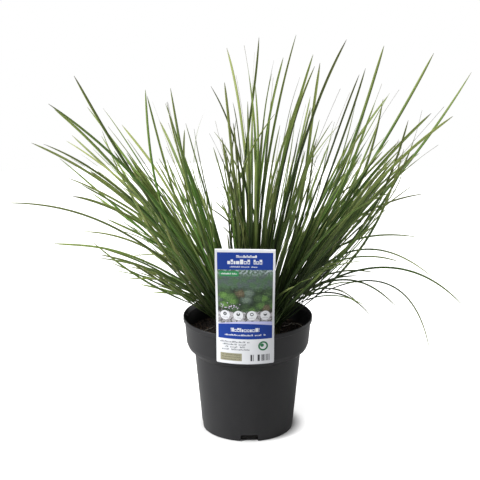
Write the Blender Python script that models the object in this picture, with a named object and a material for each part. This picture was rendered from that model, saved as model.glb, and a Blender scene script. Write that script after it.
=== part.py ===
"""A mat rush, Lomandra, in a round nursery pot with a tall card label hooked over its rim.

Run it with blender --background --python part.py, or from Blender's text editor.
Metres, +Z up. The origin is the middle of the pot's underside, and the label is on the -Y side.
"""

import math
import random

import bmesh
import bpy
from mathutils import Matrix, Vector
from mathutils.bvhtree import BVHTree

MM = 0.001

# The pot: a 170 mm nursery pot with a deep collar over a tapering body
RIM_RADIUS = 85 * MM
POT_HEIGHT = 155 * MM
LIP_DEPTH = 5.5 * MM
COLLAR_TOP_RADIUS = 83.2 * MM
COLLAR_FOOT_RADIUS = 80.7 * MM
COLLAR_FOOT = 119.5 * MM
BODY_TOP_RADIUS = 70.3 * MM
BODY_TOP = 106.2 * MM
BASE_RADIUS = 60.9 * MM
WALL = 1.5 * MM
FLOOR = 2.2 * MM
POT_SIDES = 40
NOTCH_WIDTH = 23 * MM
NOTCH_HEIGHT = 9.4 * MM
NOTCH_INNER_RADIUS = 52 * MM
NOTCH_TURN = math.radians(2)
HANGER_HOLE = 3.6 * MM
HANGER_DROP = 5 * MM
HANGER_ANGLE = 10

# The potting mix fills the pot to a little below its rim
MIX_TOP = 133 * MM
MIX_EDGE_DROP = 3.5 * MM
GAP = 0.3 * MM

# The label: a card folded over at its top, with a short flap and a narrow leg behind it
LABEL_WIDTH = 75.2 * MM
LABEL_TOP = 269 * MM
LABEL_FOOT = 118 * MM
LABEL_TURN = math.radians(-2.6)
LABEL_THICKNESS = 0.5 * MM
LABEL_LIP_HEIGHT = POT_HEIGHT - LIP_DEPTH - 2.5 * MM
LABEL_STAND_OFF = 87 * MM
LABEL_LIP_STAND_OFF = 86.2 * MM
LABEL_FOOT_STAND_OFF = 84.8 * MM
LABEL_WRAP_RADIUS = 85.4 * MM
LABEL_FOLD_RADIUS = 1.2 * MM
FLAP_FOOT = 258 * MM
LEG_WIDTH = 24 * MM
LEG_AT_FLAP = 84.2 * MM
LEG_AT_RIM = 81.4 * MM
LEG_AT_FOOT = 75.4 * MM
LEG_FOOT = 121 * MM

# A shoot is a flat fan of leaves. Its leaves part at the top of their sheaths.
SHEATH_HEIGHT = 30 * MM
SHEATH_SOLID = 6.3 * MM
SHEATH_PITCH = 1.35 * MM
SHEATH_DEPTH = 3.6 * MM
FAN_PITCH = 2.1 * MM
FAN_LEAN = 10 * MM
YOUNG_LEAVES = 3
SHORT_LEAF_WIDTH = 3.5 * MM
WIDTH_GAIN = 0.0055
KEEL = 0.27
MOST_TWIST = math.radians(60)

# How far the leaves lean to the front and the back, as a share of their length
LEAN = 0.42
ARCH_SKEW = 0.4
STRONG_ARCH = 0.1

# A leaf that would touch another is swung to the front or back, in steps, and its arch is changed a little
SWING = 5 * MM
ARCH_SWING = 0.025
TWIST_EASING = 0.98
MOST_TRIES = 60
SEED = 582

# The front view: where the eye stands, and how far it looks down
EYE = Vector((-10.2, -1633.3, 728.6)) * MM
LOOK_DOWN = math.radians(16.1)
CROWN = Vector((0, 0, MIX_TOP))
SKYWARD = Vector((0, math.sin(LOOK_DOWN), math.cos(LOOK_DOWN)))

# Leaf tips in the front view, in mm across and up from the crown, square to the line of sight.
# The third number is the arch: how far the leaf's middle lies over its chord, as a share of it.
LEFT_TIPS = (
    (-128, 50, 0.05), (-161, 66, 0.13), (-143, 61, 0.03), (-241, 106, 0.06), (-258, 117, 0.08),
    (-196, 94, 0.07), (-189, 98, 0.06), (-324, 169, 0.12), (-132, 76, -0.05), (-158, 91, 0.0),
    (-223, 130, -0.05), (-219, 131, 0.11), (-156, 97, 0.17), (-128, 86, 0.0), (-144, 102, -0.04),
    (-233, 175, 0.09), (-149, 119, 0.01), (-186, 148, 0.07), (-239, 201, 0.09), (-196, 171, 0.05),
    (-286, 250, 0.06), (-143, 130, 0.1), (-251, 225, 0.03), (-271, 246, 0.06), (-211, 208, 0.03),
    (-153, 159, -0.02), (-239, 250, 0.05), (-164, 183, 0.0), (-233, 259, 0.03), (-257, 291, 0.04),
    (-263, 302, 0.04), (-194, 257, -0.03), (-214, 294, 0.02), (-193, 266, -0.03), (-233, 336, 0.0),
    (-194, 293, 0.02), (-164, 273, 0.02), (-108, 225, 0.0), (-138, 319, -0.08), (-129, 301, 0.0),
    (-133, 310, -0.06), (-116, 278, 0.0), (-106, 274, 0.0), (-111, 299, 0.01), (-107, 302, 0.0),
    (-76, 225, 0.0), (-102, 319, -0.03), (-84, 265, -0.06), (-82, 273, 0.0), (-59, 214, -0.04),
)
MIDDLE_TIPS = (
    (-55, 164, 0.18), (-45, 171, 0.1), (-47, 211, 0.09), (-35, 168, 0.05), (-46, 261, 0.12),
    (-45, 242, 0.03), (-49, 261, 0.04), (-43, 277, 0.03), (-34, 254, 0.03), (-49, 323, 0.05),
    (-27, 127, 0.0), (-26, 146, 0.0), (-31, 327, 0.01), (-27, 373, 0.03), (-23, 301, 0.01),
    (-15, 279, -0.05), (-6, 377, -0.03), (-5, 258, 0.0), (-1, 302, 0.01), (12, 226, 0.0),
    (8, 368, -0.01), (13, 324, 0.0), (14, 388, 0.02), (22, 279, 0.0), (35, 286, 0.12),
)
RIGHT_TIPS = (
    (30, 214, -0.03), (47, 361, 0.04), (37, 334, 0.02), (45, 271, 0.03), (66, 391, 0.04),
    (66, 310, 0.05), (76, 238, 0.0), (75, 298, 0.0), (81, 310, 0.0), (83, 295, 0.0),
    (95, 354, -0.03), (86, 365, 0.03), (87, 350, 0.03), (90, 253, 0.0), (131, 384, 0.04),
    (133, 315, 0.0), (148, 338, 0.0), (156, 347, -0.01), (164, 339, -0.04), (176, 326, -0.03),
    (180, 306, -0.05), (185, 376, -0.01), (186, 310, 0.03), (202, 318, 0.02), (248, 366, 0.01),
    (216, 278, -0.05), (232, 291, -0.06), (201, 250, 0.05), (258, 298, 0.01), (244, 288, 0.05),
    (298, 342, -0.01), (271, 285, 0.05), (208, 238, -0.12), (219, 228, 0.02), (227, 234, 0.04),
    (183, 220, 0.08), (196, 187, 0.1), (186, 160, 0.03), (175, 162, 0.08), (235, 180, 0.12),
    (167, 136, 0.04), (225, 125, 0.17), (169, 76, 0.13), (247, 70, 0.28), (198, 30, 0.23),
    (286, 32, 0.25), (149, 34, 0.22), (240, -28, 0.38), (164, 20, 0.2), (88, 46, 0.15),
)

# Each tuft: its name, its tips, the place of its first shoot, its columns and its rows.
# The order of the rows spreads leaves that are neighbours in the front view over the depth.
# Neighbouring columns stand half a row apart, as bricks do.
COLUMN_PITCH = 10.5 * MM
BRICK = 6 * MM
TUFTS = (
    ("left", LEFT_TIPS, -36 * MM, 3, (2, 5, 0, 3, 1, 4)),
    ("middle", MIDDLE_TIPS, -5.5 * MM, 2, (1, 3, 0, 2)),
    ("right", RIGHT_TIPS, 15.5 * MM, 3, (3, 0, 5, 1, 4, 2)),
)
FRONT_ROW = -30 * MM
BACK_ROW = 32 * MM


def material(name, colour, roughness):
    made = bpy.data.materials.new(name)
    made.use_nodes = True
    shader = made.node_tree.nodes["Principled BSDF"]
    shader.inputs["Base Color"].default_value = (*colour, 1)
    shader.inputs["Roughness"].default_value = roughness
    shader.inputs["Metallic"].default_value = 0
    made.diffuse_color = (*colour, 1)
    return made


def add_object(name, points, faces, finish, smooth_angle=35):
    mesh = bpy.data.meshes.new(name)
    mesh.from_pydata(points, [], faces)
    outward = bmesh.new()
    outward.from_mesh(mesh)
    bmesh.ops.recalc_face_normals(outward, faces=outward.faces)
    outward.to_mesh(mesh)
    outward.free()
    mesh.materials.append(finish)
    mesh.shade_smooth()
    mesh.set_sharp_from_angle(angle=math.radians(smooth_angle))
    piece = bpy.data.objects.new(name, mesh)
    bpy.context.scene.collection.objects.link(piece)
    return piece


def cut(piece, cutter):
    """Take the cutter's shape out of the piece."""
    cutter.hide_render = True
    cutter.display_type = "WIRE"
    boolean = piece.modifiers.new("cut", "BOOLEAN")
    boolean.operation = "DIFFERENCE"
    boolean.object = cutter


def box(name, low, high, turn=0.0):
    """A cutter block between two corners, turned about the pot's axis."""
    ends = list(zip(low, high))
    corners = [Vector((x, y, z)) for x in ends[0] for y in ends[1] for z in ends[2]]
    faces = [(0, 1, 3, 2), (4, 6, 7, 5), (0, 4, 5, 1), (2, 3, 7, 6), (0, 2, 6, 4), (1, 5, 7, 3)]
    block = add_object(name, corners, faces, None)
    block.rotation_euler.z = turn
    return block


def turned(profile, sides):
    """Points and faces of a profile turned about Z. It runs from the bottom's middle to the top's."""
    points = [Vector((0, 0, profile[0][1]))]
    for radius, height in profile[1:-1]:
        for side in range(sides):
            angle = math.tau * side / sides
            points.append(Vector((radius * math.sin(angle), -radius * math.cos(angle), height)))
    points.append(Vector((0, 0, profile[-1][1])))
    faces = []
    rings = len(profile) - 2
    last = len(points) - 1
    for side in range(sides):
        after = (side + 1) % sides
        faces.append((0, 1 + after, 1 + side))
        for ring in range(rings - 1):
            low = 1 + ring * sides
            high = low + sides
            faces.append((low + side, low + after, high + after, high + side))
        top = 1 + (rings - 1) * sides
        faces.append((top + side, top + after, last))
    return points, faces


def pot_outline():
    """The pot's outside, from the edge of its underside up to its lip."""
    return [
        (BASE_RADIUS - 1.9 * MM, 0),
        (BASE_RADIUS - 0.6 * MM, 0.8 * MM),
        (BASE_RADIUS - 0.3 * MM, 3.5 * MM),
        (BODY_TOP_RADIUS, BODY_TOP),
        (BODY_TOP_RADIUS + 3.4 * MM, BODY_TOP + 3 * MM),
        (COLLAR_FOOT_RADIUS - 2.6 * MM, COLLAR_FOOT - 5.6 * MM),
        (COLLAR_FOOT_RADIUS, COLLAR_FOOT),
        (COLLAR_TOP_RADIUS, POT_HEIGHT - LIP_DEPTH - 0.8 * MM),
        (RIM_RADIUS, POT_HEIGHT - LIP_DEPTH),
        (RIM_RADIUS, POT_HEIGHT),
    ]


def pot_inside():
    """The pot's inside, from its lip down to the edge of its floor."""
    return [
        (RIM_RADIUS - WALL, POT_HEIGHT),
        (COLLAR_TOP_RADIUS - WALL, POT_HEIGHT - LIP_DEPTH - 0.8 * MM),
        (COLLAR_FOOT_RADIUS - WALL, COLLAR_FOOT),
        (COLLAR_FOOT_RADIUS - 2.6 * MM - WALL, COLLAR_FOOT - 4.8 * MM),
        (BODY_TOP_RADIUS + 2.7 * MM - WALL, BODY_TOP + 4 * MM),
        (BODY_TOP_RADIUS - WALL, BODY_TOP + 0.6 * MM),
        (BASE_RADIUS - 0.2 * MM - WALL, FLOOR + 3 * MM),
        (BASE_RADIUS - 3 * MM, FLOOR),
    ]


def make_pot():
    profile = [(0, 0), *pot_outline(), *pot_inside(), (0, FLOOR)]
    points, faces = turned(profile, POT_SIDES)
    pot = add_object("pot", points, faces, material("charcoal_plastic", (0.035, 0.036, 0.038), 0.42))
    for quarter in range(4):
        low = (-NOTCH_WIDTH / 2, -RIM_RADIUS, -NOTCH_HEIGHT)
        high = (NOTCH_WIDTH / 2, -NOTCH_INNER_RADIUS, NOTCH_HEIGHT)
        cut(pot, box(f"notch_cutter_{quarter + 1}", low, high, quarter * math.pi / 2 + NOTCH_TURN))
    for side in (-1, 1):
        centre = POT_HEIGHT - HANGER_DROP
        low = (60 * MM, -HANGER_HOLE / 2, centre - HANGER_HOLE / 2)
        high = (95 * MM, HANGER_HOLE / 2, centre + HANGER_HOLE / 2)
        turn = math.radians(90 - side * (90 - HANGER_ANGLE))
        cut(pot, box(f"hanger_cutter_{'left' if side < 0 else 'right'}", low, high, turn))


def mix_height(radius):
    """The potting mix's surface: level about the crown, and a little lower by the wall."""
    rise = min(1.0, max(0.0, (radius / RIM_RADIUS - 0.55) / 0.4))
    return MIX_TOP - MIX_EDGE_DROP * rise * rise


def wall_radius(height):
    """The inside of the pot's wall at a height, less the gap that touching pieces keep."""
    inside = pot_inside()
    for (upper_radius, upper), (lower_radius, lower) in zip(inside, inside[1:]):
        if lower <= height <= upper:
            share = (height - lower) / (upper - lower)
            return lower_radius + share * (upper_radius - lower_radius) - GAP
    return inside[-1][0] - GAP


def make_potting_mix():
    outline = [(0, FLOOR + GAP)]
    outline += [(radius - 1.5 * GAP, height + GAP) for radius, height in reversed(pot_inside()[2:])]
    edge = mix_height(wall_radius(MIX_TOP))
    outline.append((wall_radius(edge) - 0.5 * GAP, edge))
    outline += [(radius, mix_height(radius)) for radius in (72 * MM, 60 * MM, 46 * MM)]
    outline.append((0, MIX_TOP))
    points, faces = turned(outline, POT_SIDES // 2)
    mix = add_object("potting_mix", points, faces, material("potting_mix", (0.022, 0.015, 0.011), 0.95))
    half = LEG_WIDTH / 2 + GAP
    low = (-half, -LEG_AT_FOOT - 2 * LABEL_THICKNESS, LEG_FOOT - 2 * GAP)
    high = (half, -LEG_AT_FOOT + 2 * LABEL_THICKNESS, MIX_TOP + 5 * MM)
    cut(mix, box("label_slot_cutter", low, high, LABEL_TURN))


def label_point(across, height):
    """The middle of the card's front panel: wrapped round the collar below, flat at the top."""
    loose = min(1.0, max(0.0, (height - POT_HEIGHT) / (LABEL_TOP - POT_HEIGHT)))
    wrap = 1 - loose * loose * (3 - 2 * loose)
    below_lip = min(1.0, (height - LABEL_FOOT) / (LABEL_LIP_HEIGHT - LABEL_FOOT))
    stand_off = LABEL_FOOT_STAND_OFF + below_lip * (LABEL_LIP_STAND_OFF - LABEL_FOOT_STAND_OFF)
    stand_off += loose * (LABEL_STAND_OFF - LABEL_LIP_STAND_OFF)
    angle = across / LABEL_WRAP_RADIUS
    back = LABEL_WRAP_RADIUS * (1 - math.cos(angle)) - stand_off
    bent = Vector((LABEL_WRAP_RADIUS * math.sin(angle), back, height))
    flat = Vector((across, -stand_off, height))
    return flat.lerp(bent, wrap)


def flap_rows():
    """The flap as depth and height: over the fold and a little way down behind the panel."""
    rows = []
    for step in (1, 2, 3):
        angle = math.pi * step / 3
        depth = -LABEL_STAND_OFF + LABEL_FOLD_RADIUS * (1 - math.cos(angle))
        rows.append((depth, LABEL_TOP + LABEL_FOLD_RADIUS * math.sin(angle)))
    rows.append((-LEG_AT_FLAP, FLAP_FOOT))
    return rows


def make_label():
    half_leg = LEG_WIDTH / 2
    half = LABEL_WIDTH / 2
    columns = (-half, -0.62 * half, -half_leg, 0.0, half_leg, 0.62 * half, half)
    leg_rows = ((-LEG_AT_RIM, POT_HEIGHT + 4 * MM), (-LEG_AT_FOOT, MIX_TOP + 3 * MM), (-LEG_AT_FOOT, LEG_FOOT))
    heights = [LABEL_FOOT, 133 * MM, LABEL_LIP_HEIGHT, 156 * MM, 180 * MM, 208 * MM, 238 * MM]
    heights.append(LABEL_TOP)
    sheet = bmesh.new()
    broad = [[label_point(across, height) for across in columns] for height in heights]
    broad += [[Vector((across, depth, height)) for across in columns] for depth, height in flap_rows()]
    leg = [[Vector((across, depth, height)) for across in columns[2:5]] for depth, height in leg_rows]
    rows = [[sheet.verts.new(point) for point in row] for row in broad + leg]
    for before, row in zip(rows, rows[1:]):
        if len(row) < len(before):
            before = before[2:5]
        for index in range(len(row) - 1):
            sheet.faces.new((before[index], before[index + 1], row[index + 1], row[index]))
    bmesh.ops.rotate(sheet, verts=sheet.verts, matrix=Matrix.Rotation(LABEL_TURN, 3, "Z"))
    bmesh.ops.recalc_face_normals(sheet, faces=sheet.faces)
    mesh = bpy.data.meshes.new("plant_label")
    sheet.to_mesh(mesh)
    sheet.free()
    mesh.materials.append(material("label_card", (0.12, 0.22, 0.45), 0.35))
    label = bpy.data.objects.new("plant_label", mesh)
    bpy.context.scene.collection.objects.link(label)
    card = label.modifiers.new("card", "SOLIDIFY")
    card.thickness = LABEL_THICKNESS
    card.offset = 0
    card.use_even_offset = True
    return label


def seen(point):
    """Where the front view shows a point, across and up from the crown."""
    sight = point - EYE
    onward = Vector((0, math.cos(LOOK_DOWN), -math.sin(LOOK_DOWN)))
    on_plane = EYE + sight * ((CROWN - EYE).dot(onward) / sight.dot(onward))
    return Vector((on_plane.x, (on_plane - CROWN).dot(SKYWARD)))


def behind(view, depth):
    """The point that the front view shows at `view`, at a depth behind the pot's axis."""
    sight = CROWN + Vector((view.x, 0, 0)) + SKYWARD * view.y - EYE
    return EYE + sight * ((depth - EYE.y) / sight.y)


class Leaf:
    """One blade: an arch from the top of its sheath to its tip, with a keeled section."""

    def __init__(self, tip, arch, depth, full, rng):
        self.tip = Vector(tip)
        self.arch = arch
        self.depth = depth
        self.full = full
        self.stands = False
        self.twist = rng.uniform(-MOST_TWIST, MOST_TWIST)
        length = self.tip.length
        self.width = SHORT_LEAF_WIDTH + rng.uniform(-0.3, 0.3) * MM
        self.width += WIDTH_GAIN * max(0.0, length - 150 * MM)

    def place(self, start, depth, arch):
        """Set the arch's three control points for a start, a depth of its tip and an arch."""
        low = seen(start)
        chord = self.tip - low
        over = Vector((-chord.y, chord.x)) if chord.x > 0 else Vector((chord.y, -chord.x))
        middle = low + chord * (0.5 + ARCH_SKEW * max(0.0, arch)) + over * 2 * arch
        end = behind(self.tip, depth)
        middle_depth = start.y + 0.36 * (depth - start.y)
        self.controls = (start, behind(middle, middle_depth), end)

    def point(self, share):
        start, middle, end = self.controls
        return start * (1 - share) ** 2 + middle * 2 * share * (1 - share) + end * share**2

    def heading(self, share):
        start, middle, end = self.controls
        return ((middle - start) * (1 - share) + (end - middle) * share).normalized()

    def stations(self):
        """Where the leaf has its sections: more of them where it arches."""
        if not self.full:
            return (0.0, 0.4, 0.75)
        if abs(self.arch) > STRONG_ARCH:
            return (0.0, 0.18, 0.36, 0.54, 0.72, 0.88)
        return (0.0, 0.3, 0.56, 0.8)

    def section(self, share, broadside, spare=0.0):
        """Left edge, right edge and keel at a share of the length, turned from `broadside`."""
        onward = self.heading(share)
        side = (broadside - onward * broadside.dot(onward)).normalized()
        keel_side = onward.cross(side)
        turn = self.twist * share
        across = side * math.cos(turn) + keel_side * math.sin(turn)
        below = onward.cross(across)
        taper = (0.8 + 0.2 * min(1.0, share / 0.25)) * (1 - share**2.6)
        half = self.width * taper / 2 + spare
        keel = self.width * KEEL * (1 - share**3) + spare
        middle = self.point(share)
        return [middle - across * half, middle + across * half, middle + below * keel]

    def rings(self, broadside, spare=0.0):
        return [self.section(share, broadside, spare) for share in self.stations()]


def tube_faces(first, rings):
    """Side faces of a tube of three-cornered rings that starts at point number `first`."""
    faces = []
    for ring in range(rings - 1):
        low = first + 3 * ring
        for corner in range(3):
            after = (corner + 1) % 3
            faces.append((low + corner, low + after, low + 3 + after))
            faces.append((low + corner, low + 3 + after, low + 3 + corner))
    return faces


def spire_faces(first, rings):
    """Side faces of a tube of three-cornered rings that ends in the point after its last ring."""
    last = first + 3 * (rings - 1)
    closing = [(last + corner, last + (corner + 1) % 3, last + 3) for corner in range(3)]
    return tube_faces(first, rings) + closing


def spire_tree(points):
    """A search tree of such a tube, to test it against its neighbours."""
    return BVHTree.FromPolygons(points, spire_faces(0, len(points) // 3), all_triangles=True)


class Shoot:
    """A fan of leaves on one flat sheath, its leaves in order along the fan."""

    def __init__(self, name, foot, leaves):
        self.name = name
        self.foot = foot
        origin = seen(foot)
        self.leaves = sorted(leaves, key=lambda leaf: -start_angle(leaf.tip - origin, leaf.arch))
        self.angle = sum(start_angle(leaf.tip - origin, leaf.arch) for leaf in leaves) / len(leaves)
        mean_tip = sum((leaf.tip for leaf in leaves), Vector((0, 0))) / len(leaves)
        mean_depth = sum(leaf.depth for leaf in leaves) / len(leaves)
        slope = (mean_depth - foot.y) / (mean_tip.x - foot.x) if abs(mean_tip.x - foot.x) > 60 * MM else 0.0
        self.along = Vector((1, min(0.6, max(-0.6, slope)), 0)).normalized()
        self.broadside = Vector((-self.along.y, self.along.x, 0))
        reach = Vector((mean_tip.x, mean_depth, 0)) - Vector((foot.x, foot.y, 0))
        self.lean = reach.normalized() * FAN_LEAN * min(1.0, reach.length / (150 * MM))

    def from_middle(self, index):
        return index - (len(self.leaves) - 1) / 2

    def sheath_top(self, index):
        """Where a leaf leaves its sheath: the tops stand in a row square to the way the fan leans."""
        square = self.along * math.sin(self.angle) - Vector((0, 0, math.cos(self.angle)))
        spread = square * FAN_PITCH * self.from_middle(index)
        return self.foot + self.lean + spread + Vector((0, 0, SHEATH_HEIGHT))

    def strip(self, height):
        """The zigzag of points round the sheath at a height: each three in a row hold one leaf."""
        count = len(self.leaves) + 2
        points = []
        for index in range(count):
            place = self.foot + self.along * SHEATH_PITCH * (index - (count - 1) / 2)
            side = self.broadside * SHEATH_DEPTH * (0.5 if index % 2 else -0.5)
            points.append(place + side + Vector((0, 0, height)))
        return points

    def sheath(self):
        """Points of the closed sheath, and its faces but for those that the leaves grow from."""
        count = len(self.leaves) + 2
        points = self.strip(0.0) + self.strip(SHEATH_SOLID)
        faces = []
        for index in range(len(self.leaves)):
            low = (index, index + 1, index + 2)
            faces.append(low if index % 2 else low[::-1])
        rim = list(range(0, count, 2))
        rim += [index for index in range(count - 1, 0, -1) if index % 2]
        for here, after in zip(rim, rim[1:] + rim[:1]):
            faces.append((here, after, count + after))
            faces.append((here, count + after, count + here))
        return points, faces

    def cell(self, index):
        """The corners of the sheath's top that a leaf grows from, as numbers in its point list."""
        start = len(self.leaves) + 2 + index
        corners = [start, start + 1, start + 2]
        return corners[::-1] if index % 2 else corners

    def leaf_points(self, index, corners, spare=0.0):
        """A leaf's rings and tip, each ring in the order that turns the least from its cell."""
        leaf = self.leaves[index]
        rings = leaf.rings(self.broadside, spare)
        order = matched(corners, rings[0])
        return [ring[corner] for ring in rings for corner in order] + [leaf.point(1.0)]

    def mesh(self):
        points, faces = self.sheath()
        for index, leaf in enumerate(self.leaves):
            cell = self.cell(index)
            if not leaf.stands:
                faces.append(tuple(cell))
                continue
            first = len(points)
            grown = self.leaf_points(index, [points[corner] for corner in cell])
            points += grown
            for corner in range(3):
                after = (corner + 1) % 3
                faces.append((cell[corner], cell[after], first + after))
                faces.append((cell[corner], first + after, first + corner))
            faces += spire_faces(first, len(grown) // 3)
        return points, faces


def matched(cell, ring):
    """The order of a section's corners that turns the least from a cell of the sheath."""
    orders = [(0, 1, 2), (1, 2, 0), (2, 0, 1)]
    facing = (cell[1] - cell[0]).cross(cell[2] - cell[0])
    if facing.dot((ring[1] - ring[0]).cross(ring[2] - ring[0])) < 0:
        orders = [(0, 2, 1), (2, 1, 0), (1, 0, 2)]
    return min(orders, key=lambda order: sum((ring[order[n]] - cell[n]).length for n in range(3)))


def start_angle(tip, arch):
    """The direction in which a leaf sets out in the front view, counted from the right-hand side."""
    return math.atan2(tip[1], tip[0]) + math.copysign(1, tip[0]) * math.atan(4 * arch)


def deal_tips(tips, middle, rows, order):
    """Deal a tuft's tips, in order of how they set out from its middle, to its rows."""
    dealt = [[] for _ in range(rows)]
    ordered = sorted(tips, key=lambda tip: -start_angle((tip[0] - middle, tip[1]), tip[2]))
    for number, tip in enumerate(ordered):
        dealt[order[number % rows]].append(tip)
    return dealt


def young_leaves(read, rng):
    """Shorter leaves between those read from the view, so that each fan is full."""
    young = []
    for _ in range(YOUNG_LEAVES):
        one, other = rng.sample(read, 2)
        mix = rng.uniform(0.25, 0.75)
        length = rng.uniform(0.55, 0.93)
        tip = (Vector(one[:2]) * (1 - mix) + Vector(other[:2]) * mix) * length
        arch = (one[2] * (1 - mix) + other[2] * mix) * 0.8
        young.append((tip.x, tip.y, arch))
    return young


def plan_shoots(rng):
    """Every shoot with its foot and its leaves, before the leaves are placed."""
    shoots = []
    for tuft, tips, first_x, columns, order in TUFTS:
        rows = len(order)
        middle = (first_x + COLUMN_PITCH * (columns - 1) / 2) / MM
        for row, dealt in enumerate(deal_tips(tips, middle, rows, order)):
            row_share = (row + 0.5) / rows * 2 - 1
            row_y = FRONT_ROW + (BACK_ROW - FRONT_ROW) * row / (rows - 1)
            for column in range(columns):
                read = dealt[column * len(dealt) // columns:(column + 1) * len(dealt) // columns]
                x = first_x + COLUMN_PITCH * column + rng.uniform(-0.8, 0.8) * MM
                brick = BRICK * (round(x / COLUMN_PITCH) % 2)
                foot = Vector((x, row_y + brick + rng.uniform(-0.8, 0.8) * MM, 0))
                foot.z = mix_height(foot.length) + GAP
                leaves = []
                for across, up, arch in read + young_leaves(read, rng):
                    tip = Vector((across, up)) * MM
                    lean = LEAN * row_share * tip.length * rng.uniform(0.85, 1.2)
                    leaves.append(Leaf(tip, arch, foot.y + lean, len(leaves) < len(read), rng))
                shoots.append(Shoot(f"shoot_{tuft}_{len(shoots) + 1:02d}", foot, leaves))
    return shoots


def has_room(shoot, blade, whole, placed):
    """Whether a leaf is clear of all that stands: of its own shoot's, only its stalk may touch."""
    for owner, other_blade, other_whole in placed:
        if owner is not shoot:
            if whole.overlap(other_whole):
                return False
        elif blade.overlap(other_whole) or (other_blade and whole.overlap(other_blade)):
            return False
    return True


def rank(leaf):
    """The turn in which a leaf is placed: arched leaves need the most room, young ones the least."""
    if not leaf.full:
        return 2
    return 0 if abs(leaf.arch) > STRONG_ARCH else 1


def settle(shoot, turn, placed):
    """Place the shoot's leaves of one turn. Each is swung until it is clear of all that stands."""
    sheath = shoot.sheath()[0]
    for index, leaf in enumerate(shoot.leaves):
        if rank(leaf) != turn:
            continue
        cell = [sheath[corner] for corner in shoot.cell(index)]
        for step in range(MOST_TRIES):
            swing = (step + 1) // 2 * (1 if step % 2 else -1) * SWING
            leaf.twist *= TWIST_EASING
            leaf.place(shoot.sheath_top(index), leaf.depth + swing, leaf.arch + ARCH_SWING * math.sin(step))
            roomy = shoot.leaf_points(index, cell, GAP)
            if has_room(shoot, spire_tree(roomy), spire_tree(cell + roomy), placed):
                grown = shoot.leaf_points(index, cell)
                placed.append((shoot, spire_tree(grown), spire_tree(cell + grown)))
                leaf.stands = True
                break


def grow_shoots(obstacles):
    """The shoots with every leaf in its place. A leaf that finds no clear place is left out."""
    shoots = plan_shoots(random.Random(SEED))
    placed = [(None, None, tree) for tree in obstacles]
    for shoot in shoots:
        points, faces = shoot.sheath()
        placed.append((shoot, None, BVHTree.FromPolygons(points, faces, all_triangles=True)))
    for turn in range(3):
        for shoot in shoots:
            settle(shoot, turn, placed)
    return shoots


def surface_tree(piece):
    """A search tree of a piece as its modifiers leave it."""
    shaped = piece.evaluated_get(bpy.context.evaluated_depsgraph_get())
    mesh = shaped.to_mesh()
    points = [piece.matrix_world @ vertex.co for vertex in mesh.vertices]
    faces = [tuple(polygon.vertices) for polygon in mesh.polygons]
    tree = BVHTree.FromPolygons(points, faces)
    shaped.to_mesh_clear()
    return tree


def make_shoots():
    bpy.context.view_layer.update()
    obstacles = [surface_tree(bpy.data.objects[name]) for name in ("pot", "plant_label")]
    greens = [
        material("leaf_green", (0.10, 0.19, 0.035), 0.45),
        material("leaf_light_green", (0.16, 0.24, 0.05), 0.45),
    ]
    for number, shoot in enumerate(grow_shoots(obstacles)):
        points, faces = shoot.mesh()
        add_object(shoot.name, points, faces, greens[number % 3 // 2], 50)


def main():
    for old in list(bpy.data.objects):
        bpy.data.objects.remove(old)
    make_pot()
    make_potting_mix()
    make_label()
    make_shoots()


main()
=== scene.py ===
"""A mat rush in a nursery pot, with a card label over the rim: the looks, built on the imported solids.

The file is laid out as a Blender add-on and is run as a script. Metres, +Z up. The origin is the
middle of the pot's underside, and the label is on the -Y side.
"""

import copy
import math
import random

import bmesh
import bpy
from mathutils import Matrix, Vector, noise


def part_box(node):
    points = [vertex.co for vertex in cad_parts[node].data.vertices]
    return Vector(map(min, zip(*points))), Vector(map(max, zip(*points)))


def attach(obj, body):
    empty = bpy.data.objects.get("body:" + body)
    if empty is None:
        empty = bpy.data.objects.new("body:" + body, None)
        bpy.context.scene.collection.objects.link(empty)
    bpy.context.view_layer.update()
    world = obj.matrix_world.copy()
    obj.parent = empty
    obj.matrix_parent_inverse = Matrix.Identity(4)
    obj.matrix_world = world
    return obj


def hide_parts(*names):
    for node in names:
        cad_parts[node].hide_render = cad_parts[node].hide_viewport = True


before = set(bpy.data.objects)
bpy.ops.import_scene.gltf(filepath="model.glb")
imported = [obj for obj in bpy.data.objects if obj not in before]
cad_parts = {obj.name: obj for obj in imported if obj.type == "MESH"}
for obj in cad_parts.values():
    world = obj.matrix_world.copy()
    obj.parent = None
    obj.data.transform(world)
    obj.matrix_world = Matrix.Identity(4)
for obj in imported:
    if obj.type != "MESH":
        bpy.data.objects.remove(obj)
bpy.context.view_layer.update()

bl_info = {
    "name": "Potted Mat Rush",
    "version": (1, 0, 0),
    "blender": (4, 5, 0),
    "location": "View3D > Sidebar > Mat Rush",
    "description": "Makes a mat rush in a nursery pot, with its label, potting mix and studio",
    "category": "Add Mesh",
}

MM = 0.001

# The pot, as its solid has it: rim, collar and tapering body
POT_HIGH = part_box("pot")[1]
RIM_RADIUS = POT_HIGH.x
POT_HEIGHT = POT_HIGH.z
LIP_DEPTH = 5.5 * MM
COLLAR_TOP_RADIUS = 83.2 * MM
COLLAR_FOOT_RADIUS = 80.7 * MM
COLLAR_FOOT = 119.5 * MM
BODY_TOP_RADIUS = 70.3 * MM
BODY_TOP = 106.2 * MM
BASE_RADIUS = 60.9 * MM
WALL = 1.5 * MM
FLOOR = 2.2 * MM
NOTCH_WIDTH = 23 * MM
NOTCH_HEIGHT = 9.4 * MM
NOTCH_CORNER = 2.5 * MM
NOTCH_INNER_RADIUS = 52 * MM
NOTCH_TURN = math.radians(2)
HANGER_RADIUS = 2.1 * MM
HANGER_DROP = 5 * MM
HANGER_ANGLE = math.radians(10)

# The potting mix in it
MIX_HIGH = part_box("potting_mix")[1]
MIX_RADIUS = MIX_HIGH.x
MIX_TOP = MIX_HIGH.z
MIX_EDGE_DROP = 3.5 * MM
GAP = 0.3 * MM

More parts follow.
